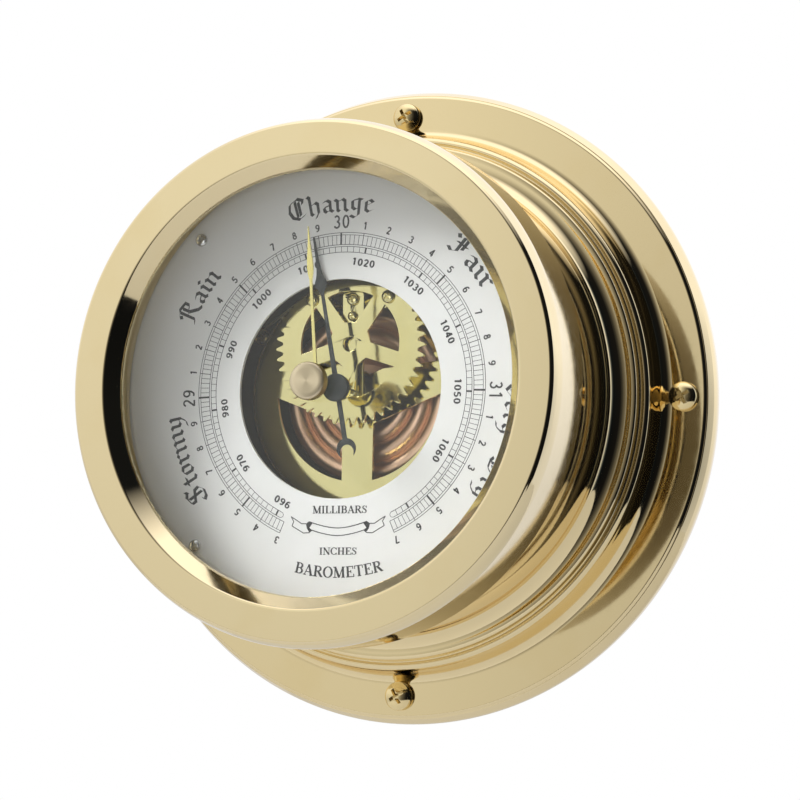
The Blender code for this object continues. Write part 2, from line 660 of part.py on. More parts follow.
def movement_base():
    """The dark plate on the case's rear wall, its screws, and the pillars for the capsule plate."""
    base = rod("movement_base", BASE_RADIUS, BASE_BACK, BASE_FACE, "dark_brass", CASE_SEGMENTS)
    drill(base, 1.7, 4, 8, 0, ADJUSTER_Z, 16)
    for third in range(3):
        x, z = polar(BASE_SCREW_RADIUS, base_screw_angle(third))
        drill(base, 1.8, 4, 8, x, z, 12)
        name = f"base_screw_{third + 1}"
        cross_head_screw(name, x, z, BASE_FACE + 0.2, 2.9, 1.9, 1.5, 1.0, "dark_brass", 10)
        x, z = polar(22.0, 60 + 120 * third)
        name = f"movement_pillar_{third + 1}"
        rod(name, 2.5, BASE_FACE + 0.3, PLATE_BACK - 0.3, "dark_brass", 16, x, z)


def main():
    clear_scene()
    case_body()
    back_cover()
    wall_screws()
    bezel()
    glass_and_rings()
    dial()
    set_pointer()
    pressure_hand()
    skeleton_plate()
    movement_frame()
    hand_bridge()
    sector()
    hairspring()
    rocker()
    capsule()
    capsule_carrier()
    movement_base()


main()
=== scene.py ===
"""The looks of the ship's barometer: case, glass, printed dial, hands and open movement.

Lengths are millimetres here and become metres in point(). A radius is measured from the case's
axis, and a depth forward from the wall, so a depth d lies at y = -d. Angles on the dial run
clockwise from the top, as its scale does.
"""

from math import atan2, cos, degrees, hypot, pi, radians, sin

import bmesh
import bpy
from mathutils import Matrix, Vector

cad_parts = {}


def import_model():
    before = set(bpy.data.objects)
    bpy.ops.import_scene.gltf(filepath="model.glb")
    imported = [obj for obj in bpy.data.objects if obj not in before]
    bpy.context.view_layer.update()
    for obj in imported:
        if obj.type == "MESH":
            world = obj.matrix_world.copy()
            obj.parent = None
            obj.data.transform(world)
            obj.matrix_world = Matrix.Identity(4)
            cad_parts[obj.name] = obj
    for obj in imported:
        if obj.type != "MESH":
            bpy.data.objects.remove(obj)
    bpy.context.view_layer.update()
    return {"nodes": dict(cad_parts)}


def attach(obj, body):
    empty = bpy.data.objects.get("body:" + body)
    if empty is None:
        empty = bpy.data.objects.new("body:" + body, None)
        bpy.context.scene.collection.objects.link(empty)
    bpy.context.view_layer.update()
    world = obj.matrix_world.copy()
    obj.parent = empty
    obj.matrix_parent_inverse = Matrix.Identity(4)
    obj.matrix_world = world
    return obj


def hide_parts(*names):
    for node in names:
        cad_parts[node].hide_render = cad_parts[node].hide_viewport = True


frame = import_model()

MM = 0.001
ROUND = 256

# Case and bezel
FLANGE_FACE = 9.2
BARREL_RADIUS = 65.5
BEZEL_RADIUS = 69.3
BEZEL_FRONT = 76.0
WALL_SCREW_RADIUS = 82.0
DIAL_SCREW_RADIUS = 59.2
BASE_SCREW_RADIUS = 50.5

# Dial
DIAL_OPENING = 29.4
DIAL_RADIUS = 63.9
DIAL_FACE = 53.2
INK_HEIGHT = 0.03
INK_BACK = DIAL_FACE + 0.01
INCH_SCALE_OUTSIDE = 41.87
INCH_SCALE_MIDDLE = 41.25
INCH_SCALE_INSIDE = 38.64
MILLIBAR_SCALE_OUTSIDE = 38.1
MILLIBAR_SCALE_INSIDE = 36.6
SCALE_RING_STEPS = 240
THICK_LINE = 0.48
RING_LINE = 0.15
TENTH_LINE = 0.17
FINE_LINE = 0.13
LOWEST_MILLIBARS = 959.3
HIGHEST_MILLIBARS = 1072.7
DEGREES_PER_INCH = 92.1
TENTH_FIGURES = {"radius": 43.95, "height": 2.0, "pen": 0.185, "widen": 1.06}
INCH_FIGURES = {"radius": 44.85, "height": 3.7, "pen": 0.135, "widen": 0.98}
MILLIBAR_FIGURES = {"radius": 34.1, "height": 1.95, "pen": 0.20, "widen": 1.25}
CAPTIONS = (
    {"text": "MILLIBARS", "x": 0.9, "z": -32.3, "height": 2.0, "width": 15.9},
    {"text": "INCHES", "x": 0.6, "z": -43.3, "height": 1.9, "width": 11.0},
    {"text": "BAROMETER", "x": 0.8, "z": -48.9, "height": 2.9, "width": 25.5, "bend": 48.9},
)
LOWEST_INCHES = 28.3
HIGHEST_INCHES = 31.7
INCHES_PER_MILLIBAR = 0.02953
REST_READING = 29.886
SET_HAND_REST = -4.3
PRESSURE_HAND_BACK = 54.1
PRESSURE_HAND_FACE = 54.5
SET_HAND_BACK = 67.1
SET_HAND_FACE = 67.6
SPINDLE_HOLE = 1.25

# Movement
GEAR_CENTRE_Z = 12.6
GEAR_TEETH = 47
GEAR_TIP = 21.9
GEAR_ROOT = 19.9
GEAR_RIM_INSIDE = 14.5
GEAR_HUB = 5.9
GEAR_SPOKE_HALF = 2.15
GEAR_TRIM_RADIUS = 29.2
GEAR_BACK = 45.6
GEAR_FACE = 46.6
PLATE_SCREW_X = 11.2
PLATE_SCREW_Z = 25.0
FRAME_RADIUS = 33.0
FRAME_FACE = 40.5
FRAME_BACK = 39.5
FRAME_WINDOW = 24.1
FRAME_BAR_HALF = 4.55
SHAFT_Z = 5.0
SHAFT_DEPTH = 38.0
PIVOT_HOLE = 0.46
ARBOR_HOLE = 0.46
WINDOW_CUT = (36, 42)
SECTOR_X = -10.05
SECTOR_Z = 9.0

# Screws: the seat and the tip are depths, and the turn is that of the recess, in degrees
WALL_SCREW = {"seat": FLANGE_FACE + 0.3, "head": 4.0, "height": 3.1, "shank": 1.95, "tip": -12.0,
              "look": "screw_brass", "turn": 30}
DIAL_SCREW = {"seat": DIAL_FACE + 0.1, "head": 1.75, "height": 1.2, "shank": 0.95, "tip": 49.4,
              "look": "steel", "turn": 20}
BASE_SCREW = {"seat": 6.5, "head": 2.9, "height": 1.9, "shank": 1.5, "tip": 1.0,
              "look": "screw_brass", "turn": 10}
PLATE_SCREW = {"seat": GEAR_FACE + 0.1, "head": 1.8, "height": 1.3, "shank": 1.0, "tip": 41.0,
               "look": "plate_brass", "turn": 40}
BRIDGE_SCREW = {"seat": 44.7, "height": 1.2, "shank": 0.8, "tip": 41.2, "look": "plate_brass",
                "turn": 15}

# Camera, in metres: where it stands and which way its right, top and back point
CAMERA_AT = (0.27518, -0.65643, -0.06745)
CAMERA_RIGHT = (0.9201, 0.3915, 0.0144)
CAMERA_UP = (0.0248, -0.0949, 0.9952)
CAMERA_BACK = (0.3910, -0.9153, -0.0970)
CAMERA_LENS = 112.5

# Studio: colours by bearing (0 towards the viewer, 90 to the right), the heights in degrees where
# the dark side gives way to white, and the brightness by height
STUDIO_STRENGTH = 1.5
STUDIO_WALL = (1.15, 1.18, 1.35)
STUDIO_SIDES = (
    (-180, STUDIO_WALL),
    (-100, (0.95, 0.95, 1.0)),
    (-50, (0.95, 0.95, 0.95)),
    (-23, (0.92, 0.92, 0.91)),
    (-8, (0.50, 0.49, 0.47)),
    (10, (0.18, 0.17, 0.16)),
    (28, (0.05, 0.05, 0.05)),
    (42, (0.01, 0.01, 0.012)),
    (94, (0.006, 0.008, 0.012)),
    (103, (0.08, 0.10, 0.14)),
    (109, (0.42, 0.45, 0.52)),
    (118, STUDIO_WALL),
    (180, STUDIO_WALL),
)
STUDIO_ABOVE = (1.38, 1.38, 1.5)
STUDIO_OPEN = ((-50, 1.0), (-34, 0.0), (44, 0.0), (66, 1.0))
STUDIO_LEVEL = ((-60, 0.60), (-12, 0.70), (0, 0.82), (12, 0.98), (30, 1.0))
SEEN_BACKGROUND = (1.0, 1.0, 1.0)
KEY_LAMP = {"at": (-0.95, -0.95, 0.95), "size": 0.6, "power": 14.0}
FILL_LAMP = {"at": (0.2, -1.5, -0.2), "size": 0.9, "power": 2.5}
FLOOR_RADIUS = 0.9
FLOOR_Z = -0.45


# Points and outlines


def point(x, depth, z):
    return Vector((x * MM, -depth * MM, z * MM))


def polar(radius, angle, x=0.0, z=0.0):
    """The (x, z) at this radius, with the angle in degrees anticlockwise from +X."""
    return x + radius * cos(radians(angle)), z + radius * sin(radians(angle))


def arc(radius, start, end, steps, x=0.0, z=0.0):
    return [polar(radius, start + (end - start) * i / steps, x, z) for i in range(steps + 1)]


def circle(radius, x=0.0, z=0.0, steps=48):
    return arc(radius, 0, 360 - 360 / steps, steps - 1, x, z)


def turned(outline, clockwise):
    a = radians(clockwise)
    return [(x * cos(a) + z * sin(a), z * cos(a) - x * sin(a)) for x, z in outline]


def mirrored(side):
    return side + [(-x, z) for x, z in reversed(side) if x != 0]


def filleted(corners, steps=5):
    """The (radius, depth) corners of a closed profile, each rounded by its third number."""
    spots = []
    count = len(corners)
    for i, (x, y, fillet) in enumerate(corners):
        here = Vector((x, y))
        before = Vector(corners[i - 1][:2]) - here
        after = Vector(corners[(i + 1) % count][:2]) - here
        reach = min(fillet, before.length * 0.48, after.length * 0.48)
        if reach <= 0:
            spots.append((x, y))
            continue
        start = here + before.normalized() * reach
        end = here + after.normalized() * reach
        for step in range(steps + 1):
            t = step / steps
            spot = start * (1 - t) ** 2 + here * 2 * t * (1 - t) + end * t ** 2
            spots.append((spot.x, spot.y))
    return spots


# Meshes


def finish(name, bm, body, look, replaces=()):
    bmesh.ops.recalc_face_normals(bm, faces=bm.faces)
    mesh = bpy.data.meshes.new(name)
    bm.to_mesh(mesh)
    bm.free()
    obj = bpy.data.objects.new(name, mesh)
    bpy.context.scene.collection.objects.link(obj)
    if look is None:
        obj.hide_render = True
        obj.hide_viewport = True
        return obj
    mesh.materials.append(MATERIALS[look])
    shaded(obj)
    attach(obj, body)
    if replaces:
        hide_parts(*replaces)
    return obj


def lathe(name, profile, body, look, replaces=(), segments=ROUND, x=0.0, z=0.0, solid=False):
    """A profile of (radius, depth) turned about the line through (x, z) along Y."""
    bm = bmesh.new()
    rings = []
    for radius, depth in profile:
        spots = [polar(radius, 360 * i / segments, x, z) for i in range(segments)]
        rings.append([bm.verts.new(point(px, depth, pz)) for px, pz in spots])
    pairs = list(zip(rings, rings[1:]))
    if solid:
        bm.faces.new(rings[0])
        bm.faces.new(rings[-1])
    else:
        pairs.append((rings[-1], rings[0]))
    for first, second in pairs:
        for i in range(segments):
            j = (i + 1) % segments
            bm.faces.new([first[i], second[i], second[j], first[j]])
    return finish(name, bm, body, look, replaces)


def extruded(name, corners, along, body=None, look=None):
    """A flat outline of points, drawn out along a vector. Without a look it is a cutter."""
    bm = bmesh.new()
    base = bm.faces.new([bm.verts.new(corner) for corner in corners])
    made = bmesh.ops.extrude_face_region(bm, geom=[base])["geom"]
    moved = [item for item in made if isinstance(item, bmesh.types.BMVert)]
    bmesh.ops.translate(bm, verts=moved, vec=along)
    return finish(name, bm, body, look)


def prism_cutter(name, outline, back, front):
    """A cutter between two depths, its outline as (x, z)."""
    return extruded(name, [point(x, back, z) for x, z in outline], point(0, front - back, 0))


def cut(obj, *cutters):
    """Cuts these pieces away, and applies it so that later steps see the cut shape."""
    for cutter in cutters:
        cutter.hide_viewport = False
        modifier = obj.modifiers.new(cutter.name, "BOOLEAN")
        modifier.solver = "EXACT"
        modifier.object = cutter
    applied(obj)
    for cutter in cutters:
        bpy.data.objects.remove(cutter, do_unlink=True)
    return shaded(obj)


def applied(obj):
    graph = bpy.context.evaluated_depsgraph_get()
    mesh = bpy.data.meshes.new_from_object(obj.evaluated_get(graph))
    obj.modifiers.clear()
    obj.data = mesh
    return obj


def shaded(obj):
    """Smooth curves with true flats: a mirror finish shows any bend in a flat's shading."""
    obj.data.shade_smooth()
    obj.data.set_sharp_from_angle(angle=radians(30))
    flats = obj.modifiers.new("flats", "WEIGHTED_NORMAL")
    flats.keep_sharp = True
    flats.weight = 100
    return applied(obj)


def softened(obj, width, segments=2):
    """Rounds the sharp edges, as tumbling or polishing does."""
    bevel = obj.modifiers.new("soft_edges", "BEVEL")
    bevel.width = width * MM
    bevel.segments = segments
    bevel.limit_method = "ANGLE"
    bevel.angle_limit = radians(40)
    return shaded(applied(obj))


def plate(name, outline, holes, back, front, body, look, replaces=(), edge=0.08):
    """A flat part with holes and softened edges, its outlines as (x, z)."""
    curve = bpy.data.curves.new(name, "CURVE")
    curve.dimensions = "2D"
    curve.fill_mode = "BOTH"
    for ring in [outline] + list(holes):
        spline = curve.splines.new("POLY")
        spline.points.add(len(ring) - 1)
        for spot, (x, z) in zip(spline.points, ring):
            spot.co = (x * MM, z * MM, 0, 1)
        spline.use_cyclic_u = True
    curve.extrude = ((front - back) / 2 - edge) * MM
    curve.bevel_depth = edge * MM
    curve.bevel_resolution = 1
    curve.offset = -edge * MM
    drawn = bpy.data.objects.new(name + "_curve", curve)
    bpy.context.scene.collection.objects.link(drawn)
    graph = bpy.context.evaluated_depsgraph_get()
    mesh = bpy.data.meshes.new_from_object(drawn.evaluated_get(graph))
    bpy.data.objects.remove(drawn, do_unlink=True)
    upright = Matrix(((1, 0, 0, 0), (0, 0, -1, -(front + back) / 2 * MM), (0, 1, 0, 0), (0, 0, 0, 1)))
    mesh.transform(upright)
    bm = bmesh.new()
    bm.from_mesh(mesh)
    bpy.data.meshes.remove(mesh)
    bmesh.ops.remove_doubles(bm, verts=bm.verts, dist=0.001 * MM)
    return finish(name, bm, body, look, replaces)


# Materials


class Graph:
    """A node tree under construction, with short ways to add nodes to it."""

    def __init__(self, tree):
        self.tree = tree

    def node(self, kind, **inputs):
        made = self.tree.nodes.new(kind)
        for key, value in inputs.items():
            self.feed(made.inputs[key.replace("_", " ")], value)
        return made

    def feed(self, socket, value):
        if isinstance(value, bpy.types.NodeSocket):
            self.tree.links.new(value, socket)
        else:
            socket.default_value = value

    def maths(self, operation, *values):
        made = self.node("ShaderNodeMath")
        made.operation = operation
        for socket, value in zip(made.inputs, values):
            self.feed(socket, value)
        return made.outputs[0]

    def mixed(self, share, first, second, blend="MIX"):
        made = self.node("ShaderNodeMix")
        made.data_type = "RGBA"
        made.blend_type = blend
        colours = [socket for socket in made.inputs if socket.type == "RGBA"]
        self.feed(made.inputs["Factor"], share)
        self.feed(colours[0], first)
        self.feed(colours[1], second)
        return [socket for socket in made.outputs if socket.type == "RGBA"][0]

    def ramp(self, value, stops):
        """A colour by number, from (position, colour) stops."""
        made = self.node("ShaderNodeValToRGB", Fac=value)
        points = made.color_ramp.elements
        while len(points) < len(stops):
            points.new(1.0)
        for spot, (position, colour) in zip(points, stops):
            spot.position = position
            spot.color = rgba(*colour)
        return made.outputs["Color"]


class Look(Graph):
    """A material under construction: its shader, and the patterns that its surfaces share."""

    def __init__(self, name, **values):
        self.material = bpy.data.materials.new(name)
        self.material.use_nodes = True
        super().__init__(self.material.node_tree)
        self.shader = self.tree.nodes["Principled BSDF"]
        for socket, value in values.items():
            self.shade(socket.replace("_", " "), value)

    def shade(self, socket, value):
        self.feed(self.shader.inputs[socket], value)

    def place(self):
        return self.node("ShaderNodeTexCoord").outputs["Object"]

    def stretched(self, x, y, z):
        made = self.node("ShaderNodeMapping", Vector=self.place())
        made.inputs["Scale"].default_value = (x, y, z)
        return made.outputs["Vector"]

    def noise(self, where, scale, detail=3.0):
        made = self.node("ShaderNodeTexNoise", Vector=where, Scale=scale, Detail=detail)
        return made.outputs["Fac"]

    def turning_marks(self, scale, detail):
        """Noise that changes only with the distance from the case's axis, as a lathe leaves."""
        parts = self.node("ShaderNodeSeparateXYZ", Vector=self.place())
        flat = self.node("ShaderNodeCombineXYZ", X=parts.outputs["X"], Y=parts.outputs["Z"])
        length = self.node("ShaderNodeVectorMath")
        length.operation = "LENGTH"
        self.feed(length.inputs[0], flat.outputs[0])
        made = self.node("ShaderNodeTexNoise", Scale=scale, Detail=detail)
        made.noise_dimensions = "1D"
        self.feed(made.inputs["W"], length.outputs["Value"])
        return made.outputs["Fac"]

    def ranged(self, value, low, high, start=0.3, end=0.7):
        made = self.node("ShaderNodeMapRange")
        for socket, number in zip(made.inputs, (value, start, end, low, high)):
            self.feed(socket, number)
        return made.outputs["Result"]

    def clouded(self, scale, detail, first, second, start=0.3, end=0.7):
        """Colours the surface in patches of two close colours, and gives their noise."""
        cloud = self.noise(self.place(), scale, detail)
        share = self.ranged(cloud, 0.0, 1.0, start, end)
        self.shade("Base Color", self.mixed(share, rgba(*first), rgba(*second)))
        return cloud

    def bump(self, height, strength, distance):
        made = self.node("ShaderNodeBump", Height=height, Strength=strength)
        made.inputs["Distance"].default_value = distance * MM
        self.shade("Normal", made.outputs["Normal"])


def rgba(red, green, blue):
    return (red, green, blue, 1.0)


def polished(name, tint, aged, rough, spread=0.03, patches=45.0):
    """Polished metal: patches of thin tarnish, hazier where it has been handled."""
    look = Look(name, Metallic=1.0)
    look.clouded(patches, 4.0, tint, aged, 0.52, 0.80)
    haze = look.noise(look.place(), patches * 9, 5.0)
    look.shade("Roughness", look.ranged(haze, rough, rough + spread))
    return look


def metal(*finish_values):
    """Polished metal with fine hairlines across it."""
    look = polished(*finish_values)
    look.bump(look.noise(look.stretched(900, 160, 900), 1.0, 2.0), 0.06, 0.004)
    return look.material


def turned_brass(*finish_values):
    """Brass finished on a lathe, with faint rings about the case's axis."""
    look = polished(*finish_values)
    look.bump(look.turning_marks(9000.0, 1.0), 0.035, 0.004)
    return look.material


def rolled_brass(name, tint, aged, rough):
    """Sheet brass, brushed one way before it was cut."""
    look = polished(name, tint, aged, rough, 0.05, 120.0)
    look.bump(look.noise(look.stretched(3200, 200, 120), 1.0, 2.0), 0.05, 0.004)
    return look.material


def spun_knob(name):
    """Brass faced in fine rings, which draw the light out into a fan."""
    look = Look(name, Metallic=1.0, Anisotropic=0.85, Base_Color=rgba(0.86, 0.74, 0.52))
    tangent = look.node("ShaderNodeTangent")
    tangent.direction_type = "RADIAL"
    tangent.axis = "Y"
    look.shade("Tangent", tangent.outputs["Tangent"])
    rings = look.turning_marks(26000.0, 2.0)
    look.shade("Roughness", look.ranged(rings, 0.36, 0.46))
    look.bump(rings, 0.08, 0.004)
    return look.material


def dial_paint(name):
    """Silvered white lacquer with a very fine grain."""
    look = Look(name, Coat_Weight=0.15, Coat_Roughness=0.2)
    look.clouded(30.0, 3.0, (0.80, 0.805, 0.79), (0.84, 0.84, 0.835))
    grain = look.noise(look.place(), 5200.0, 2.0)
    look.shade("Roughness", look.ranged(grain, 0.38, 0.52))
    look.bump(grain, 0.10, 0.01)
    return look.material


def ink(name):
    look = Look(name)
    cloud = look.clouded(900.0, 3.0, (0.018, 0.018, 0.02), (0.05, 0.05, 0.055))
    look.shade("Roughness", look.ranged(cloud, 0.45, 0.6))
    return look.material


def black_steel(name):
    look = Look(name, Metallic=0.5)
    cloud = look.clouded(700.0, 4.0, (0.025, 0.03, 0.03), (0.055, 0.06, 0.06))
    look.shade("Roughness", look.ranged(cloud, 0.30, 0.45))
    look.bump(cloud, 0.10, 0.006)
    return look.material


def clear_glass(name):
    """Plain glass that lets lamp light through to the dial, with a trace of smears."""
    look = Look(name, Transmission_Weight=1.0, IOR=1.45, Base_Color=rgba(0.985, 0.995, 0.99))
    smears = look.noise(look.place(), 40.0, 4.0)
    look.shade("Roughness", look.ranged(smears, 0.0, 0.012, 0.55, 0.85))
    open_to_lamps = look.node("ShaderNodeBsdfTransparent")
    ray = look.node("ShaderNodeLightPath").outputs["Is Shadow Ray"]
    mix = look.node("ShaderNodeMixShader")
    for socket, value in zip(mix.inputs, (ray, look.shader.outputs[0], open_to_lamps.outputs[0])):
        look.feed(socket, value)
    look.feed(look.tree.nodes["Material Output"].inputs["Surface"], mix.outputs[0])
    return look.material


def floor_paint(name):
    look = Look(name, Roughness=0.9)
    cloud = look.noise(look.place(), 1.5, 2.0)
    look.shade("Base Color", look.mixed(cloud, rgba(0.55, 0.55, 0.54), rgba(0.60, 0.60, 0.59)))
    return look.material


# How each metal is finished, with its colour clean and aged, then its roughness, how much that
# spreads, and the scale of its patches
METALS = {
    "case_brass": (turned_brass, (0.86, 0.71, 0.42), (0.84, 0.68, 0.38), 0.04),
    "bezel_brass": (turned_brass, (0.87, 0.73, 0.45), (0.85, 0.70, 0.41), 0.045),
    "plate_brass": (rolled_brass, (0.84, 0.76, 0.38), (0.80, 0.71, 0.33), 0.06),
    "hand_brass": (rolled_brass, (0.92, 0.82, 0.34), (0.84, 0.70, 0.24), 0.12),
    "screw_brass": (metal, (0.86, 0.70, 0.38), (0.60, 0.42, 0.18), 0.10),
    # painted shade: brass coloured near black, standing in for the shade inside the closed case
    "dark_brass": (metal, (0.14, 0.13, 0.075), (0.07, 0.065, 0.04), 0.45, 0.15),
    "copper": (metal, (0.88, 0.60, 0.42), (0.78, 0.48, 0.32), 0.34, 0.06, 90.0),
    "steel": (metal, (0.70, 0.70, 0.68), (0.50, 0.49, 0.46), 0.16, 0.06, 200.0),
}


OTHER_FINISHES = {
    "knob_brass": spun_knob,
    "dial_white": dial_paint,
    "dial_ink": ink,
    "black_steel": black_steel,
    "glass_clear": clear_glass,
    "floor_pale": floor_paint,
}


def make_materials():
    """By the names used here, because Blender renames one that the CAD already has."""
    made = {name: make(name, *values) for name, (make, *values) in METALS.items()}
    made.update({name: make(name) for name, make in OTHER_FINISHES.items()})
    return made


SLOTS = dict.fromkeys(("case_brass", "bezel_brass", "knob_brass", "screw_brass"), "polished_brass")
SLOTS.update(dict.fromkeys(("plate_brass", "hand_brass"), "plate_brass"))
for own_slot in ("dark_brass", "copper", "steel", "dial_white", "black_steel", "glass_clear"):
    SLOTS[own_slot] = own_slot
MATERIALS = make_materials()


# Case


def case_body():
    back = [(63.0, 4.5, 0.4), (41.5, 4.5, 0.3), (41.5, 1.9, 0.1), (46.3, 1.9, 0.1), (46.3, 0, 0.3)]
    hollow = [(67.6, 0, 0.3), (67.8, 14.6, 1.0), (72.4, 14.4, 1.0), (76.8, 6.6, 1.0), (85.0, 6.4, 1.0)]
    rim = [(85.2, 0, 0.3), (89.4, 0.0, 2.4), (90.0, 3.2, 1.6), (90.0, 5.4, 1.6), (88.5, 8.5, 1.6)]
    face = [(88.2, 8.55, 0.1), (87.6, 9.15, 0.3), (77.8, FLANGE_FACE, 1.2), (76.1, 10.6, 1.0)]
    beads = [(75.1, 14.0, 1.4), (74.8, 17.2, 1.2), (73.7, 18.1, 0.8), (72.5, 17.7, 0.4)]
    beads += [(72.1, 18.7, 0.5), (71.9, 19.9, 0.7), (70.7, 20.2, 0.5)]
    cove = [(BARREL_RADIUS + 4.6 * (1 - sin(a)), 24.8 - 4.6 * cos(a), 0) for a in arc_angles(0.08, 12)]
    front = [(BARREL_RADIUS, 63.6, 0.5), (64.25, 63.6, 0.3), (64.25, 51.9, 0.2), (55.5, 51.9, 0.5)]
    inside = [(55.5, 48.9, 0.5), (63.0, 45.0, 1.0)]
    body = filleted(back + hollow + rim + face + beads + cove + front + inside)
    case = lathe("case_shell", body, "case", "case_brass", ["case_body"])
    holes = []
    for third in range(3):
        x, z = polar(BASE_SCREW_RADIUS, base_screw_angle(third))
        holes.append(prism_cutter(f"case_hole_{third}", circle(1.7, x, z), -1, 6))
    cut(case, *holes)


def arc_angles(start, steps):
    return [start + (pi / 2 - start) * i / steps for i in range(steps + 1)]


def base_screw_angle(third):
    return 155.6 - 120 * third


def bezel():
    outside = [(66.3, 55.0, 0.2), (68.8, 55.0, 0.5), (BEZEL_RADIUS, 55.9, 0.6), (BEZEL_RADIUS, 72.6, 2.2)]
    front = [(68.2, 75.3, 0.9), (67.9, 75.55, 0.1), (67.5, 75.95, 0.3), (59.2, BEZEL_FRONT, 0.5)]
    lip = [(56.0, 72.1, 0.3), (55.8, 71.6, 0.2), (55.8, 70.8, 0.2), (65.2, 70.8, 0.2)]
    inside = [(65.2, 64.2, 0.1), (65.9, 64.2, 0.1), (65.9, 55.3, 0.2)]
    lathe("bezel_ring", filleted(outside + front + lip + inside), "case", "bezel_brass", ["bezel"])


def glass_and_rings():
    pane = [(2.3, 68.4, 0.1), (64.8, 68.4, 0.15), (64.8, 70.4, 0.15), (2.3, 70.4, 0.1)]
    spacer = [(63.2, 53.5, 0.1), (63.95, 53.5, 0.1), (63.95, 66.5, 0.1), (63.2, 66.5, 0.2)]
    retainer = [(63.2, 66.8, 0.3), (64.9, 66.8, 0.1), (64.9, 68.1, 0.1), (63.2, 68.1, 0.3)]
    for name, corners, look, node in (
        ("glass_pane", pane, "glass_clear", "glass"),
        ("dial_spacer", spacer, "bezel_brass", "dial_spacer_ring"),
        ("retaining_ring", retainer, "steel", "glass_retaining_ring"),
    ):
        lathe(name, filleted(corners, 2), "case", look, [node])


def cross_outline(reach, half, x, z, turn):
    corner = [(reach, -half), (reach, half), (half, half)]
    spots = []
    for quarter in range(4):
        a = radians(90 * quarter + turn)
        spots += [(x + u * cos(a) - v * sin(a), z + u * sin(a) + v * cos(a)) for u, v in corner]
    return spots


def cross_head_screw(node, x, z, seat, head, height, shank, tip, look, turn):
    """A domed head with a rolled edge and a cross recess, standing for a CAD screw."""
    dome = [(head * cos(a), seat + height * (0.28 + 0.72 * sin(a))) for a in arc_angles(0.0, 9)[:-1]]
    profile = [(shank, tip), (shank, seat), (head * 0.93, seat), (head, seat + height * 0.1)]
    profile += dome + [(head * 0.10, seat + height)]
    screw = lathe(node + "_detailed", profile, "case", look, [node], 48, x, z, solid=True)
    outline = cross_outline(head * 0.56, head * 0.12, x, z, turn)
    cut(screw, prism_cutter(node + "_recess", outline, seat + height * 0.35, seat + height + 1))
    softened(screw, head * 0.03)


def case_screws():
    for quarter in range(4):
        x, z = polar(WALL_SCREW_RADIUS, 90 - 90 * quarter)
        cross_head_screw(f"wall_screw_{quarter + 1}", x, z, **WALL_SCREW)
        x, z = polar(DIAL_SCREW_RADIUS, 135 - 90 * quarter)
        cross_head_screw(f"dial_screw_{quarter + 1}", x, z, **DIAL_SCREW)
    for third in range(3):
        x, z = polar(BASE_SCREW_RADIUS, base_screw_angle(third))
        cross_head_screw(f"base_screw_{third + 1}", x, z, **BASE_SCREW)


# Dial printing


class Printing:
    """Thin raised ink on the dial, gathered into one piece."""

    def __init__(self):
        self.bm = bmesh.new()

    def shape(self, spots):
        """A closed outline of (x, z), raised by the thickness of the ink."""
        low = [self.bm.verts.new(point(x, INK_BACK, z)) for x, z in spots]
        high = [self.bm.verts.new(point(x, INK_BACK + INK_HEIGHT, z)) for x, z in spots]
        self.bm.faces.new(low)
        self.bm.faces.new(high)
        for i in range(len(spots)):
            j = (i + 1) % len(spots)
            self.bm.faces.new([low[i], low[j], high[j], high[i]])

    def ring(self, radius, width, start, end, steps):
        """A line round the dial between two dial angles."""
        angles = [start + (end - start) * i / steps for i in range(steps + 1)]
        outer = [dial_point(radius + width / 2, angle) for angle in angles]
        inner = [dial_point(radius - width / 2, angle) for angle in angles]
        for i in range(steps):
            self.shape([outer[i], outer[i + 1], inner[i + 1], inner[i]])

    def tick(self, angle, inner, outer, width):
        x, z = dial_point(1, angle)
        across_x, across_z = z * width / 2, -x * width / 2
        corners = ((inner, -1), (outer, -1), (outer, 1), (inner, 1))
        self.shape([(x * r + side * across_x, z * r + side * across_z) for r, side in corners])

    def lines(self, lines, place):
        """Lines of (u, v, width) points, each put on the dial by place(u, v)."""
        for line in lines:
            for (u0, v0, w0), (u1, v1, w1) in zip(line, line[1:]):
                side = Vector((v0 - v1, u1 - u0)).normalized() / 2
                ends = ((u0, v0, w0), (u1, v1, w1), (u1, v1, -w1), (u0, v0, -w0))
                self.shape([place(u + side.x * w, v + side.y * w) for u, v, w in ends])

    def done(self, name):
        return finish(name, self.bm, "case", "dial_ink")


def dial_point(radius, angle):
    """The (x, z) at a dial angle, in degrees clockwise from the top."""
    return radius * sin(radians(angle)), radius * cos(radians(angle))


def inch_angle(inches):
    return (inches - 30.0) * DEGREES_PER_INCH


def millibar_angle(millibars):
    return inch_angle(millibars * INCHES_PER_MILLIBAR)


def scale_rings():
    printing = Printing()
    low, high = inch_angle(LOWEST_INCHES), inch_angle(HIGHEST_INCHES)
    radii = (INCH_SCALE_OUTSIDE, INCH_SCALE_MIDDLE, INCH_SCALE_INSIDE)
    for radius, width in zip(radii, (RING_LINE, FINE_LINE, RING_LINE)):
        printing.ring(radius, width, low, high, SCALE_RING_STEPS)
    low, high = millibar_angle(LOWEST_MILLIBARS), millibar_angle(HIGHEST_MILLIBARS)
    for radius in (MILLIBAR_SCALE_OUTSIDE, MILLIBAR_SCALE_INSIDE):
        printing.ring(radius, RING_LINE, low, high, SCALE_RING_STEPS)
    for step in range(171):
        inch_tick(printing, step)
    for millibars in range(960, 1073):
        width = THICK_LINE if millibars % 10 == 0 else FINE_LINE
        printing.tick(millibar_angle(millibars), MILLIBAR_SCALE_INSIDE, MILLIBAR_SCALE_OUTSIDE, width)
    scale_end(printing, low, -1)
    scale_end(printing, high, 1)
    printing.done("dial_scale_lines")


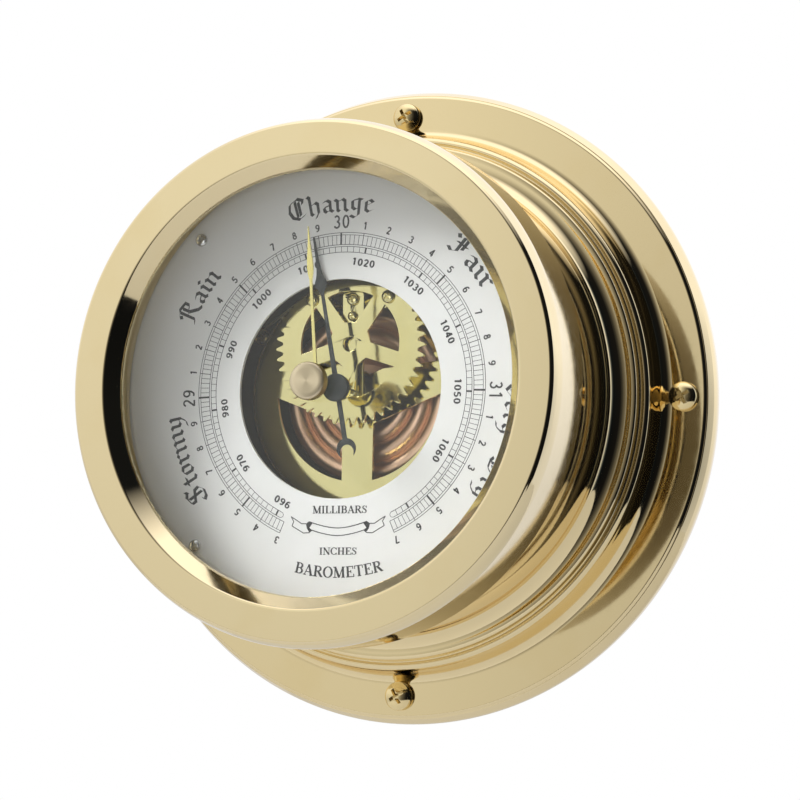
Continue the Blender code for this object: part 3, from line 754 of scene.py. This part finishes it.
def inch_tick(printing, step):
    """One mark for every fiftieth of an inch: longer at tenths, thick at halves."""
    inches = LOWEST_INCHES + 0.02 * step
    tenth = step % 5 == 0
    half = round(inches * 50) % 25 == 0
    outer = INCH_SCALE_OUTSIDE if tenth else INCH_SCALE_MIDDLE
    width = THICK_LINE if half else TENTH_LINE if tenth else FINE_LINE
    printing.tick(inch_angle(inches), INCH_SCALE_INSIDE, outer, width)


def scale_end(printing, angle, sign):
    """The half circle that closes the millibar scale."""
    radius = (MILLIBAR_SCALE_OUTSIDE - MILLIBAR_SCALE_INSIDE) / 2
    centre = dial_point(MILLIBAR_SCALE_INSIDE + radius, angle)
    turns = [pi * i / 8 for i in range(9)]
    spots = [dial_offset(*centre, angle, radius * sin(a) * sign, radius * cos(a)) for a in turns]
    for start, end in zip(spots, spots[1:]):
        printing.shape(stroke(start, end, 0.12))


def dial_offset(x, z, angle, along, out):
    across_x, across_z = dial_point(along, angle + 90)
    out_x, out_z = dial_point(out, angle)
    return x + across_x + out_x, z + across_z + out_z


def stroke(start, end, width):
    """A short straight line with square ends."""
    start, end = Vector(start), Vector(end)
    along = end - start
    side = Vector((-along.y, along.x)).normalized() * width / 2
    return [tuple(corner) for corner in (start + side, end + side, end - side, start - side)]


def scale_figures():
    printing = Printing()
    for tenths in range(283, 318):
        angle = inch_angle(tenths / 10)
        if tenths % 10:
            print_number(printing, str(tenths % 10), angle, **TENTH_FIGURES)
        else:
            print_number(printing, str(tenths // 10), angle, **INCH_FIGURES)
    for millibars in range(960, 1061, 10):
        print_number(printing, str(millibars), millibar_angle(millibars), **MILLIBAR_FIGURES)
    for caption in CAPTIONS:
        print_capitals(printing, **caption)
    printing.done("dial_figures")


STEM = 0.19
HAIR = 0.08
FOOT = 0.035
HEAD = 0.965
NUMERAL_WIDTH = 0.58
NUMERAL_STEP = 0.72


def bowl(x, z, across, up, start, end):
    """Part of an oval as (x, z, width), thick at its sides and thin at its top and foot."""
    spots = []
    for i in range(13):
        a = radians(start + (end - start) * i / 12)
        spots.append((x + across * cos(a), z + up * sin(a), HAIR + (STEM - HAIR) * abs(cos(a)) ** 1.5))
    return spots


def bar(x0, z0, x1, z1, width=HAIR):
    return [(x0, z0, width), (x1, z1, width)]


def foot(x0, x1):
    return bar(x0, FOOT, x1, FOOT)


def head(x0, x1):
    return bar(x0, HEAD, x1, HEAD)


def stem(x, reach=0.17):
    """An upright with its two serifs."""
    return [bar(x, 0, x, 1, STEM), foot(x - reach, x + reach), head(x - reach, x + reach)]


def capitals():
    """Roman capitals 1 high: each letter's width, and its lines as (x, z, width) points."""
    upright = stem(0.22)
    s_curve = [(0.56, 0.76, 0.06), (0.47, 0.93, 0.06), (0.30, 0.965, 0.07), (0.15, 0.87, 0.12)]
    s_curve += [(0.13, 0.70, 0.15), (0.28, 0.57, 0.18), (0.46, 0.45, 0.18), (0.56, 0.28, 0.15)]
    s_curve += [(0.50, 0.10, 0.10), (0.32, 0.035, 0.07), (0.16, 0.08, 0.06), (0.08, 0.25, 0.06)]
    b_bowls = [bowl(0.42, 0.75, 0.23, 0.215, 90, -90), bowl(0.42, 0.28, 0.28, 0.245, 90, -90)]
    r_bowl = [bowl(0.42, 0.745, 0.26, 0.22, 90, -90), head(0.2, 0.42), bar(0.2, 0.52, 0.42, 0.52)]
    e_arms = [head(0.2, 0.70), bar(0.2, 0.51, 0.50, 0.51), foot(0.2, 0.74)]
    m_lines = [bar(0.18, 0, 0.18, 1), bar(0.18, 1, 0.56, 0.02, STEM), bar(0.56, 0.02, 0.92, 1)]
    n_lines = [bar(0.18, 0, 0.18, 1), bar(0.16, 1, 0.78, 0.0, STEM), bar(0.78, 0, 0.78, 1)]
    return {
        "A": (0.92, [bar(0.15, 0, 0.46, 1), bar(0.44, 1, 0.78, 0, STEM), bar(0.24, 0.33, 0.66, 0.33),
                     foot(0.02, 0.30), foot(0.62, 0.94)]),
        "B": (0.80, upright + b_bowls + [head(0.2, 0.42), bar(0.2, 0.53, 0.42, 0.53), foot(0.2, 0.42)]),
        "C": (0.86, [bowl(0.46, 0.5, 0.36, 0.48, 42, 318), bar(0.76, 0.98, 0.76, 0.68),
                     bar(0.76, 0.02, 0.76, 0.28)]),
        "E": (0.82, upright + e_arms + [bar(0.70, 1.0, 0.70, 0.74), bar(0.50, 0.64, 0.50, 0.38),
                                        bar(0.74, 0, 0.74, 0.28)]),
        "H": (0.98, upright + stem(0.74) + [bar(0.22, 0.51, 0.74, 0.51)]),
        "I": (0.46, upright),
        "L": (0.76, upright + [foot(0.2, 0.70), bar(0.70, 0, 0.70, 0.30)]),
        "M": (1.14, m_lines + [bar(0.92, 0, 0.92, 1, STEM), foot(0.02, 0.34), head(0.02, 0.24),
                               foot(0.76, 1.09), head(0.88, 1.09)]),
        "N": (0.96, n_lines + [foot(0.02, 0.34), head(0.02, 0.24), head(0.62, 0.94)]),
        "O": (0.94, [bowl(0.46, 0.5, 0.37, 0.48, 0, 180), bowl(0.46, 0.5, 0.37, 0.48, 180, 360)]),
        "R": (0.90, upright + r_bowl + [bar(0.44, 0.52, 0.78, 0.03, STEM), foot(0.70, 0.90)]),
        "S": (0.68, [s_curve, bar(0.57, 0.98, 0.57, 0.70), bar(0.07, 0.02, 0.07, 0.31)]),
        "T": (0.86, [bar(0.42, 0, 0.42, 1, STEM), head(0.05, 0.79), foot(0.26, 0.58),
                     bar(0.06, 1.0, 0.06, 0.70), bar(0.78, 1.0, 0.78, 0.70)]),
    }


def print_capitals(printing, text, x, z, height, width, bend=None):
    """A level line of capitals, or one that follows a circle of radius bend at the dial's foot."""
    letters = capitals()
    total = sum(letters[letter][0] for letter in text)
    size = width / total
    across = -total / 2

    def place(u, v):
        along, up = x + u * size, (v - 0.5) * height
        if bend is None:
            return along, z + up
        return (bend - up) * sin(along / bend), -(bend - up) * cos(along / bend)

    for letter in text:
        step, lines = letters[letter]
        printing.lines([[(across + u, v, w) for u, v, w in line] for line in lines], place)
        across += step


def even(points, pen):
    return [(u, v, pen) for u, v in points]


def oval(x, z, across, up, start, end):
    angles = [radians(start + (end - start) * i / 14) for i in range(15)]
    return [(x + across * cos(a), z + up * sin(a)) for a in angles]


def numerals(pen):
    """Plain figures 1 high and NUMERAL_WIDTH wide, drawn with a round pen of one width."""
    six = [oval(0.29, 0.31, 0.21, 0.25, 0, 360), [(0.08, 0.36), (0.12, 0.66), (0.27, 0.91), (0.48, 0.88)]]
    shapes = {
        "0": [oval(0.29, 0.5, 0.21, 0.44, 0, 360)],
        "1": [[(0.33, 0), (0.33, 1.0)], [(0.33, 0.96), (0.14, 0.78)]],
        "2": [oval(0.29, 0.71, 0.20, 0.23, 165, -35) + [(0.09, 0.07)], [(0.06, 0.07), (0.52, 0.07)]],
        "3": [oval(0.28, 0.72, 0.18, 0.21, 150, -90), oval(0.28, 0.29, 0.21, 0.23, 90, -155)],
        "4": [[(0.41, 0), (0.41, 1.0)], [(0.41, 0.96), (0.06, 0.28)], [(0.03, 0.28), (0.56, 0.28)]],
        "5": [[(0.50, 0.93), (0.15, 0.93), (0.11, 0.50)], oval(0.28, 0.32, 0.21, 0.26, 130, -155)],
        "6": six,
        "7": [[(0.06, 0.93), (0.52, 0.93), (0.24, 0)]],
        "8": [oval(0.29, 0.73, 0.17, 0.20, 0, 360), oval(0.29, 0.29, 0.21, 0.23, 0, 360)],
        "9": [[(0.58 - u, 1 - v) for u, v in line] for line in six],
    }
    return {figure: [even(line, pen) for line in lines] for figure, lines in shapes.items()}


def print_number(printing, text, angle, radius, height, pen, widen):
    """Figures whose tops point away from the dial's centre."""
    shapes = numerals(pen)
    for i, figure in enumerate(text):
        start = (i - len(text) / 2) * NUMERAL_STEP + (NUMERAL_STEP - NUMERAL_WIDTH) / 2

        def place(u, v):
            along, out = (start + u) * height * widen, (v - 0.5) * height
            return dial_offset(*dial_point(radius, angle), angle, along, out)

        printing.lines(shapes[figure], place)


# Pen strokes of the weather words: a letter's width and its lines, with the small letters 1 high.
MINIM = ((0.06, 0.90), (0.21, 0.78))
ARCH = ((0.25, 0.74), (0.50, 0.93), (0.65, 0.78))
PEN_LETTERS = {
    "S": (1.20, [[(0.98, 1.34), (0.70, 1.56), (0.30, 1.38), (0.28, 1.06), (0.86, 0.72), (0.92, 0.34),
        (0.62, 0.05), (0.22, 0.10), (0.06, 0.36)], [(0.58, 1.40), (0.58, 0.24)], [(0.06, 0.36),
        (0.24, 0.46)], [(1.02, 1.52), (0.94, 1.26)]]),
    "R": (1.22, [[(0.30, 1.44), (0.30, 0.14), (0.08, 0.04)], [(0.04, 1.30), (0.36, 1.56), (0.86, 1.38),
        (0.86, 1.02), (0.44, 0.82)], [(0.54, 0.80), (0.92, 0.18), (1.16, 0.06)], [(0.54, 1.38),
        (0.54, 0.92)], [(0.04, 1.30), (0.10, 1.10)]]),
    "C": (1.16, [[(1.00, 1.34), (0.68, 1.56), (0.26, 1.30), (0.14, 0.80), (0.28, 0.28), (0.66, 0.05),
        (1.00, 0.28)], [(0.56, 1.40), (0.56, 0.22)], [(1.00, 1.36), (0.92, 1.10)], [(0.74, 1.30),
        (0.74, 0.30)]]),
    "F": (1.06, [[(1.02, 1.50), (0.70, 1.36), (0.34, 1.56), (0.10, 1.34)], [(0.46, 1.38), (0.46, 0.26),
        (0.22, 0.04), (0.00, 0.18)], [(0.24, 0.84), (0.82, 0.92)], [(0.66, 1.34), (0.66, 0.56)],
        [(0.10, 1.34), (0.20, 1.14)]]),
    "V": (1.20, [[(0.08, 1.34), (0.30, 1.54), (0.42, 1.38), (0.36, 0.42), (0.62, 0.05)], [(0.62, 0.05),
        (1.00, 0.42), (1.02, 1.16), (0.78, 1.52), (0.54, 1.32)], [(0.66, 1.10), (0.66, 0.40)]]),
    "D": (1.22, [[(0.05, 1.30), (0.46, 1.56), (0.94, 1.22), (1.04, 0.62), (0.72, 0.12), (0.30, 0.06),
        (0.06, 0.22)], [(0.36, 1.40), (0.36, 0.20)], [(0.58, 1.36), (0.58, 0.34)]]),
    "a": (0.74, [[(0.68, 0.08), (0.52, 0.20), (0.52, 0.78), (0.34, 0.93), (0.14, 0.82)], [(0.52, 0.58),
        (0.17, 0.42), (0.17, 0.20), (0.30, 0.07), (0.50, 0.22)]]),
    "e": (0.68, [[(0.58, 0.24), (0.38, 0.07), (0.19, 0.20), (0.19, 0.78), (0.38, 0.93), (0.56, 0.78),
        (0.22, 0.50)]]),
    "g": (0.80, [[(0.48, 0.93), (0.19, 0.78), (0.19, 0.32), (0.36, 0.16), (0.56, 0.32)], [(0.46, 0.93),
        (0.72, 0.90)], [(0.58, 0.86), (0.58, -0.20), (0.36, -0.40), (0.10, -0.28)]]),
    "h": (0.84, [[(0.10, 1.46), (0.21, 1.32), (0.21, 0.16), (0.32, 0.06)], [*ARCH, (0.65, 0.12),
        (0.46, -0.20)]]),
    "i": (0.44, [[*MINIM, (0.21, 0.20), (0.38, 0.06)], [(0.16, 1.28), (0.28, 1.18)]]),
    "m": (1.34, [[*MINIM, (0.21, 0.16), (0.32, 0.06)], [*ARCH, (0.65, 0.16), (0.76, 0.06)], [(0.69, 0.74),
        (0.94, 0.93), (1.09, 0.78), (1.09, 0.20), (1.26, 0.06)]]),
    "n": (0.90, [[*MINIM, (0.21, 0.16), (0.32, 0.06)], [*ARCH, (0.65, 0.20), (0.82, 0.06)]]),
    "o": (0.76, [[(0.37, 0.93), (0.18, 0.80), (0.18, 0.22), (0.37, 0.07), (0.58, 0.22), (0.58, 0.80),
        (0.37, 0.93)]]),
    "r": (0.60, [[*MINIM, (0.21, 0.20), (0.36, 0.06)], [(0.25, 0.74), (0.42, 0.92), (0.54, 0.82)]]),
    "t": (0.54, [[(0.24, 1.22), (0.24, 0.20), (0.42, 0.06)], [(0.04, 0.90), (0.50, 0.90)]]),
    "y": (0.82, [[*MINIM, (0.21, 0.26), (0.38, 0.12), (0.60, 0.28)], [(0.52, 0.95), (0.63, 0.84),
        (0.63, 0.02), (0.42, -0.32), (0.14, -0.42)]]),
}
PEN_WORDS = (("Stormy", -127.0, -97.4), ("Rain", -66.9, -48.3), ("Change", -18.6, 11.2),
             ("Fair", 40.0, 59.0), ("Very", 88.8, 106.0), ("Dry", 113.1, 127.0))
PEN_BASELINE = 47.5
PEN_HEIGHT = 3.8
PEN_NIB = 0.105
PEN_SLOPE = 42.0
PEN_THICKNESS = 0.16


def weather_words():
    """Each word in broad-pen letters, bent round the dial between two angles."""
    printing = Printing()
    for word, start, end in PEN_WORDS:
        total = sum(PEN_LETTERS[letter][0] for letter in word)
        step = (end - start) / total
        across = 0.0
        for letter in word:
            width, lines = PEN_LETTERS[letter]
            for line in lines:
                for a, b in zip(line, line[1:]):
                    pen_stroke(printing, a, b, start, step, across)
            across += width
    printing.done("dial_weather_words")


def pen_stroke(printing, a, b, start, step, across):
    """One straight stroke of a nib held at a slope, as a four-sided outline."""
    nib = Vector((cos(radians(PEN_SLOPE)), sin(radians(PEN_SLOPE)))) * PEN_NIB
    thin = Vector((-nib.y, nib.x)) * PEN_THICKNESS
    first, second = Vector(a), Vector(b)
    along = (second - first).normalized()
    if along.cross(nib) < 0:
        nib = -nib
    if along.dot(thin) < 0:
        thin = -thin
    corners = [first - nib - thin, second - nib + thin, second + nib + thin, first + nib - thin]
    spots = []
    for corner in corners:
        angle = start + (across + corner.x) * step
        spots.append(dial_point(PEN_BASELINE + corner.y * PEN_HEIGHT, angle))
    printing.shape(spots)


def ribbon():
    """A plain scroll between the two units, with folded ends and notched tails."""
    printing = Printing()
    x0, z0 = 0.4, -36.9
    half = 8.4
    across = [half * i / 10 for i in range(-10, 11)]
    top = [(x, 1.75 * (abs(x) / half) ** 1.7 - 0.3) for x in across]
    bottom = [(x, z - 2.0) for x, z in top]
    lines = [top, bottom, [top[0], bottom[0]], [top[-1], bottom[-1]]]
    for side in (-1, 1):
        tail = [(9.3, 0.9), (10.6, 0.9), (12.0, 1.8), (13.7, 2.8), (12.9, 1.5), (13.4, 0.3), (11.6, -0.7)]
        tail += [(10.0, -1.6), (8.2, -1.5)]
        lines.append([(side * x, z) for x, z in tail])
        fold = [(7.3, 1.1), (8.4, 1.5), (9.3, 0.9), (9.0, -0.4), (8.2, -1.5), (7.4, -0.9), (8.3, -0.2)]
        printing.shape([(x0 + side * x, z0 + z) for x, z in fold])
    for line in lines:
        for a, b in zip(line, line[1:]):
            printing.shape(stroke((x0 + a[0], z0 + a[1]), (x0 + b[0], z0 + b[1]), 0.24))
    printing.done("dial_ribbon")


def dial():
    outer = circle(DIAL_RADIUS, steps=ROUND)
    inner = circle(DIAL_OPENING, steps=ROUND)
    plate("dial_face", outer, [inner], 52.2, DIAL_FACE, "case", "dial_white", ["dial_plate"], 0.06)
    scale_rings()
    scale_figures()
    weather_words()
    ribbon()


# Hands


def pressure_hand():
    hollow = arc(2.0, 90, -12, 12, 0, -17.5)
    horn = arc(2.75, -50, 76, 16, 0, -16.5)
    shaft = [(0.65, -13.4), (0.68, 0.0), (0.72, 3.0), (0.45, 25.4)]
    leaf = [(0.62, 26.2), (1.15, 27.1), (1.62, 28.0), (1.75, 28.7), (1.62, 29.3), (1.22, 30.1), (0.86, 31.2)]
    leaf += [(0.62, 32.6), (0.48, 34.6)]
    outline = turned(mirrored(hollow + horn + shaft + leaf + [(0.24, 41.5), (0.14, 41.6)]), hand_rest())
    place = (PRESSURE_HAND_BACK, PRESSURE_HAND_FACE, "pressure_pointer", "black_steel")
    plate("pressure_hand_blade", outline, [], *place, ["pressure_hand"], 0.06)
    cap = [(3.75, 54.8), (3.75, 55.5), (3.68, 55.72), (3.5, 55.86), (3.2, 55.9), (0.05, 55.9)]
    lathe("hand_cap", cap, "pressure_pointer", "black_steel", ["hand_hub"], 96, solid=True)


def hand_rest():
    return (REST_READING - 30.0) * DEGREES_PER_INCH


def set_pointer():
    hub = [polar(2.5, a) for a in range(-90, 61, 10)]
    shaft = [(0.50, 2.9), (0.40, 27.4)]
    leaf = [(0.55, 28.0), (0.75, 29.0), (0.88, 30.6), (0.84, 32.2), (0.66, 34.0), (0.44, 36.2), (0.26, 38.6)]
    outline = turned(mirrored(hub + shaft + leaf + [(0.10, 41.6)]), SET_HAND_REST)
    bore = circle(SPINDLE_HOLE, steps=24)
    place = (SET_HAND_BACK, SET_HAND_FACE, "set_pointer", "hand_brass")
    plate("marker_hand", outline, [bore], *place, ["set_hand"], 0.08)
    knob()


def knob():
    """A straight-knurled knob with a chamfered, lathe-faced front."""
    teeth = 64
    rings = []
    bm = bmesh.new()
    layers = ((71.2, 4.6, 0.0), (71.45, 4.78, 0.20), (73.95, 4.78, 0.20), (74.2, 4.66, 0.0), (74.4, 4.4, 0.0))
    for depth, radius, ridge in layers:
        ring = []
        for i in range(teeth * 2):
            spot = polar(radius + (ridge if i % 2 else 0), 180 * i / teeth)
            ring.append(bm.verts.new(point(spot[0], depth, spot[1])))
        rings.append(ring)
    for shrink in (3.2, 2.0, 0.8):
        spots = [polar(shrink, 180 * i / teeth) for i in range(teeth * 2)]
        rings.append([bm.verts.new(point(x, 74.4, z)) for x, z in spots])
    for first, second in zip(rings, rings[1:]):
        for i in range(teeth * 2):
            j = (i + 1) % (teeth * 2)
            bm.faces.new([first[i], first[j], second[j], second[i]])
    bm.faces.new(rings[0])
    bm.faces.new(rings[-1])
    piece = finish("knurled_knob", bm, "set_pointer", "knob_brass", ["set_knob"])
    cut(piece, prism_cutter("knob_bore", circle(SPINDLE_HOLE, steps=32), 70, 73.2))


# Movement


def skeleton_plate():
    """The gear-shaped plate, its outline cut off by a circle about the case's axis."""
    step = 360 / GEAR_TEETH
    shape = ((0.50, GEAR_ROOT), (0.36, GEAR_ROOT + 0.12), (0.24, GEAR_ROOT + 0.9), (0.13, GEAR_TIP - 0.2),
             (0.06, GEAR_TIP))
    outline = []
    for tooth in range(GEAR_TEETH):
        middle = 90 + step * tooth
        for share, radius in shape:
            outline += [polar(radius, middle - step * share, 0, GEAR_CENTRE_Z)]
        for share, radius in reversed(shape[1:]):
            outline += [polar(radius, middle + step * share, 0, GEAR_CENTRE_Z)]
    outline = [trimmed(x, z) for x, z in outline]
    holes = [gear_window(90 + 72 * i) for i in range(5)]
    holes.append(circle(2.05, 0, GEAR_CENTRE_Z))
    holes.append(circle(1.5))
    for side in (-1, 1):
        holes.append(circle(1.2, side * PLATE_SCREW_X, PLATE_SCREW_Z, 24))
    plate("skeleton_plate", outline, holes, GEAR_BACK, GEAR_FACE, "case", "plate_brass", ["gear_plate"], 0.06)
    for side, label in ((-1, "left"), (1, "right")):
        node = f"gear_plate_screw_{label}"
        cross_head_screw(node, side * PLATE_SCREW_X, PLATE_SCREW_Z, **PLATE_SCREW)


def trimmed(x, z):
    reach = hypot(x, z)
    if reach <= GEAR_TRIM_RADIUS:
        return x, z
    return x * GEAR_TRIM_RADIUS / reach, z * GEAR_TRIM_RADIUS / reach


def gear_window(middle):
    """The opening between two spokes, with a corner at its inner end, as a clockwise hole."""
    spoke = degrees(atan2(GEAR_SPOKE_HALF, hypot(GEAR_RIM_INSIDE, GEAR_SPOKE_HALF)))
    spots = arc(GEAR_RIM_INSIDE, middle - 36 + spoke, middle + 36 - spoke, 24, 0, GEAR_CENTRE_Z)
    along = GEAR_SPOKE_HALF / sin(radians(36))
    half = (GEAR_HUB - along) * sin(radians(36)) / cos(radians(36))
    a = radians(middle)
    for side in (half, -half):
        x = GEAR_HUB * cos(a) - side * sin(a)
        spots.append((x, GEAR_CENTRE_Z + GEAR_HUB * sin(a) + side * cos(a)))
    return spots


def movement_frame():
    """The cup-shaped frame with its three spokes and the bearings behind it."""
    outside = [(FRAME_RADIUS, 25.0, 0.2), (FRAME_RADIUS, FRAME_FACE, 3.3), (ARBOR_HOLE, FRAME_FACE, 0)]
    inside = [(ARBOR_HOLE, FRAME_BACK, 0), (31.9, FRAME_BACK, 2.3), (31.9, 25.0, 0.2)]
    profile = filleted(outside + inside)
    frame_piece = lathe("frame_spider", profile, "case", "plate_brass", ["movement_frame"], 160)
    cutters = [prism_cutter(f"frame_window_{side}", lower_window(side), *WINDOW_CUT) for side in (-1, 1)]
    cutters.append(prism_cutter("frame_window_top", upper_window(), *WINDOW_CUT))
    pivot = circle(PIVOT_HOLE, SECTOR_X, SECTOR_Z, 16)
    cutters.append(prism_cutter("sector_pivot", pivot, *WINDOW_CUT))
    cut(frame_piece, *cutters)
    for x, label in ((-18.0, "left"), (5.7, "right")):
        bearing(f"shaft_bearing_{label}", x)


def bearing(name, x):
    """A small bent lug behind the frame, with a hole for the rocking shaft."""
    outer = [(39.45, 3.4), (39.45, 5.9), (36.8, 5.9), (36.8, 3.4)]
    turns = [2 * pi * i / 16 for i in range(16)]
    hole = [(SHAFT_DEPTH + PIVOT_HOLE * cos(a), SHAFT_Z + PIVOT_HOLE * sin(a)) for a in turns]
    corners = [point(x - 0.6, depth, z) for depth, z in outer]
    lug = extruded(name, corners, point(1.2, 0, 0), "case", "plate_brass")
    corners = [point(x - 1, depth, z) for depth, z in hole]
    cut(lug, extruded(name + "_bore", corners, point(2, 0, 0)))


def lower_window(side):
    edge = degrees(atan2(FRAME_BAR_HALF, FRAME_WINDOW))
    spots = arc(FRAME_WINDOW, -1.8, edge - 90, 36)
    spots.append((FRAME_BAR_HALF, -8.4))
    return [(side * x, z) for x, z in spots]


def upper_window():
    spots = arc(FRAME_WINDOW, 19.5, 160.5, 60)
    spots += [(-13.2, 6.8), (-13.2, 11.2), (-7.2, 11.2), (-7.2, 6.4)]
    spots += arc(6.0, 125, 55, 12)
    return spots + [(7.2, 6.4)]


def hand_bridge():
    outline = []
    for quarter, (x, z) in enumerate(((1.5, 25.8), (-1.5, 25.8), (-1.5, -1.8), (1.5, -1.8))):
        outline += arc(1.6, 90 * quarter, 90 * quarter + 90, 8, x, z)
    holes = [circle(0.65, steps=20), circle(1.0, 0, 25.0, 20), circle(1.0, 0, 20.4, 20)]
    plate("bridge_bar", outline, holes, 43.6, 44.6, "case", "plate_brass", ["hand_bridge"], 0.08)
    for number, (z, head_radius) in enumerate(((25.0, 1.7), (20.4, 1.35)), 1):
        cross_head_screw(f"bridge_screw_{number}", 0, z, head=head_radius, **BRIDGE_SCREW)


def capsule():
    """Pressed copper, with rounded corrugations on its front."""
    profile = [(2.0, 29.6), (22.6, 29.6), (23.5, 30.1), (24.1, 30.9), (24.4, 32.0), (24.3, 33.0)]
    profile.append((24.0, 33.8))
    for step in range(74):
        radius = 23.6 - step * 0.204
        profile.append((radius, 34.0 + 1.8 * abs(cos(pi * (radius - 21.3) / 5.1)) ** 0.7))
    profile += [(8.4, 34.0), (2.0, 34.0)]
    lathe("capsule_box", profile, "case", "copper", ["capsule"], 160, solid=True)


PILLARS = [f"movement_pillar_{number}" for number in (1, 2, 3)]
COVER_SCREWS = [f"back_cover_screw_{number}" for number in (1, 2, 3)]
CAD_LOOKS = {
    # painted shade: the parts inside the case take the near-black brass in place of the shade that falls
    # there
    "dark_brass": ["back_cover", "capsule_post", "capsule_plate", "movement_base"] + PILLARS,
    "plate_brass": ["gear_plate_post_left", "gear_plate_post_right", "bridge_block", "sector_gear",
                    "hand_collet"],
    "case_brass": ["glass_bush", "set_spindle"],
    "steel": ["set_spring_washer", "hand_arbor", "hand_pinion", "sector_arbor", "hairspring",
              "rocking_shaft", "rocker_lever", "drive_arm", "capsule_stud", "capsule_nut",
              "carrier_strip", "carrier_screw", "adjusting_screw"] + COVER_SCREWS,
}


def finish_cad_nodes():
    """The small pieces whose CAD shape is right keep it, and take a finished material."""
    for look, names in CAD_LOOKS.items():
        for name in names:
            node = frame["nodes"][name]
            for slot in node.material_slots:
                slot.material = MATERIALS[look]


# Studio


def floor():
    """A round pale floor, well below the object because that hangs on a wall."""
    bm = bmesh.new()
    spots = circle(FLOOR_RADIUS, steps=96)
    bm.faces.new([bm.verts.new((x, z, FLOOR_Z)) for x, z in spots])
    mesh = bpy.data.meshes.new("floor")
    bm.to_mesh(mesh)
    bm.free()
    mesh.materials.append(MATERIALS["floor_pale"])
    obj = bpy.data.objects.new("floor", mesh)
    bpy.context.scene.collection.objects.link(obj)


def lamp(name, at, size, power):
    light = bpy.data.lights.new(name, "AREA")
    light.shape = "DISK"
    light.size = size
    light.energy = power
    obj = bpy.data.objects.new(name, light)
    obj.location = at
    obj.rotation_euler = (-Vector(at)).to_track_quat("-Z", "Y").to_euler()
    obj.visible_glossy = False
    bpy.context.scene.collection.objects.link(obj)


def shared(colour):
    """A studio colour as a share of the strength that the background is multiplied by."""
    return tuple(part / STUDIO_STRENGTH for part in colour)


def world():
    """A white studio with a dark side to the right of the camera, which the brass reflects."""
    made = bpy.data.worlds.new("studio")
    made.use_nodes = True
    graph = Graph(made.node_tree)
    towards = graph.node("ShaderNodeTexCoord").outputs["Generated"]
    parts = graph.node("ShaderNodeSeparateXYZ", Vector=towards).outputs
    bearing_angle = graph.maths("ARCTAN2", parts["X"], graph.maths("MULTIPLY", parts["Y"], -1.0))
    bearing_share = graph.maths("MULTIPLY_ADD", bearing_angle, 0.5 / pi, 0.5)
    height_share = graph.maths("MULTIPLY_ADD", graph.maths("ARCSINE", parts["Z"]), 1 / pi, 0.5)
    sides = graph.ramp(bearing_share, [((a + 180) / 360, shared(colour)) for a, colour in STUDIO_SIDES])
    cover = graph.ramp(height_share, [((a + 90) / 180, (v, v, v)) for a, v in STUDIO_OPEN])
    level = graph.ramp(height_share, [((a + 90) / 180, (v, v, v * 0.97)) for a, v in STUDIO_LEVEL])
    walls = graph.mixed(cover, sides, rgba(*shared(STUDIO_ABOVE)))
    lit = graph.mixed(1.0, walls, level, "MULTIPLY")
    seen = graph.node("ShaderNodeLightPath").outputs["Is Camera Ray"]
    background = graph.tree.nodes["Background"]
    graph.feed(background.inputs["Color"], graph.mixed(seen, lit, rgba(*shared(SEEN_BACKGROUND))))
    background.inputs["Strength"].default_value = STUDIO_STRENGTH
    bpy.context.scene.world = made


def studio():
    world()
    bpy.context.scene.view_settings.view_transform = "Standard"
    lamp("key", **KEY_LAMP)
    lamp("fill", **FILL_LAMP)
    floor()


def camera():
    data = bpy.data.cameras.new("camera")
    data.lens = CAMERA_LENS
    data.sensor_width = 36.0
    data.clip_end = 100.0
    obj = bpy.data.objects.new("camera", data)
    turn = Matrix((CAMERA_RIGHT, CAMERA_UP, CAMERA_BACK)).transposed().to_4x4()
    obj.matrix_world = Matrix.Translation(CAMERA_AT) @ turn
    bpy.context.scene.collection.objects.link(obj)
    bpy.context.scene.camera = obj


def main():
    studio()
    camera()
    case_body()
    bezel()
    glass_and_rings()
    case_screws()
    dial()
    pressure_hand()
    set_pointer()
    skeleton_plate()
    movement_frame()
    hand_bridge()
    capsule()
    finish_cad_nodes()


main()
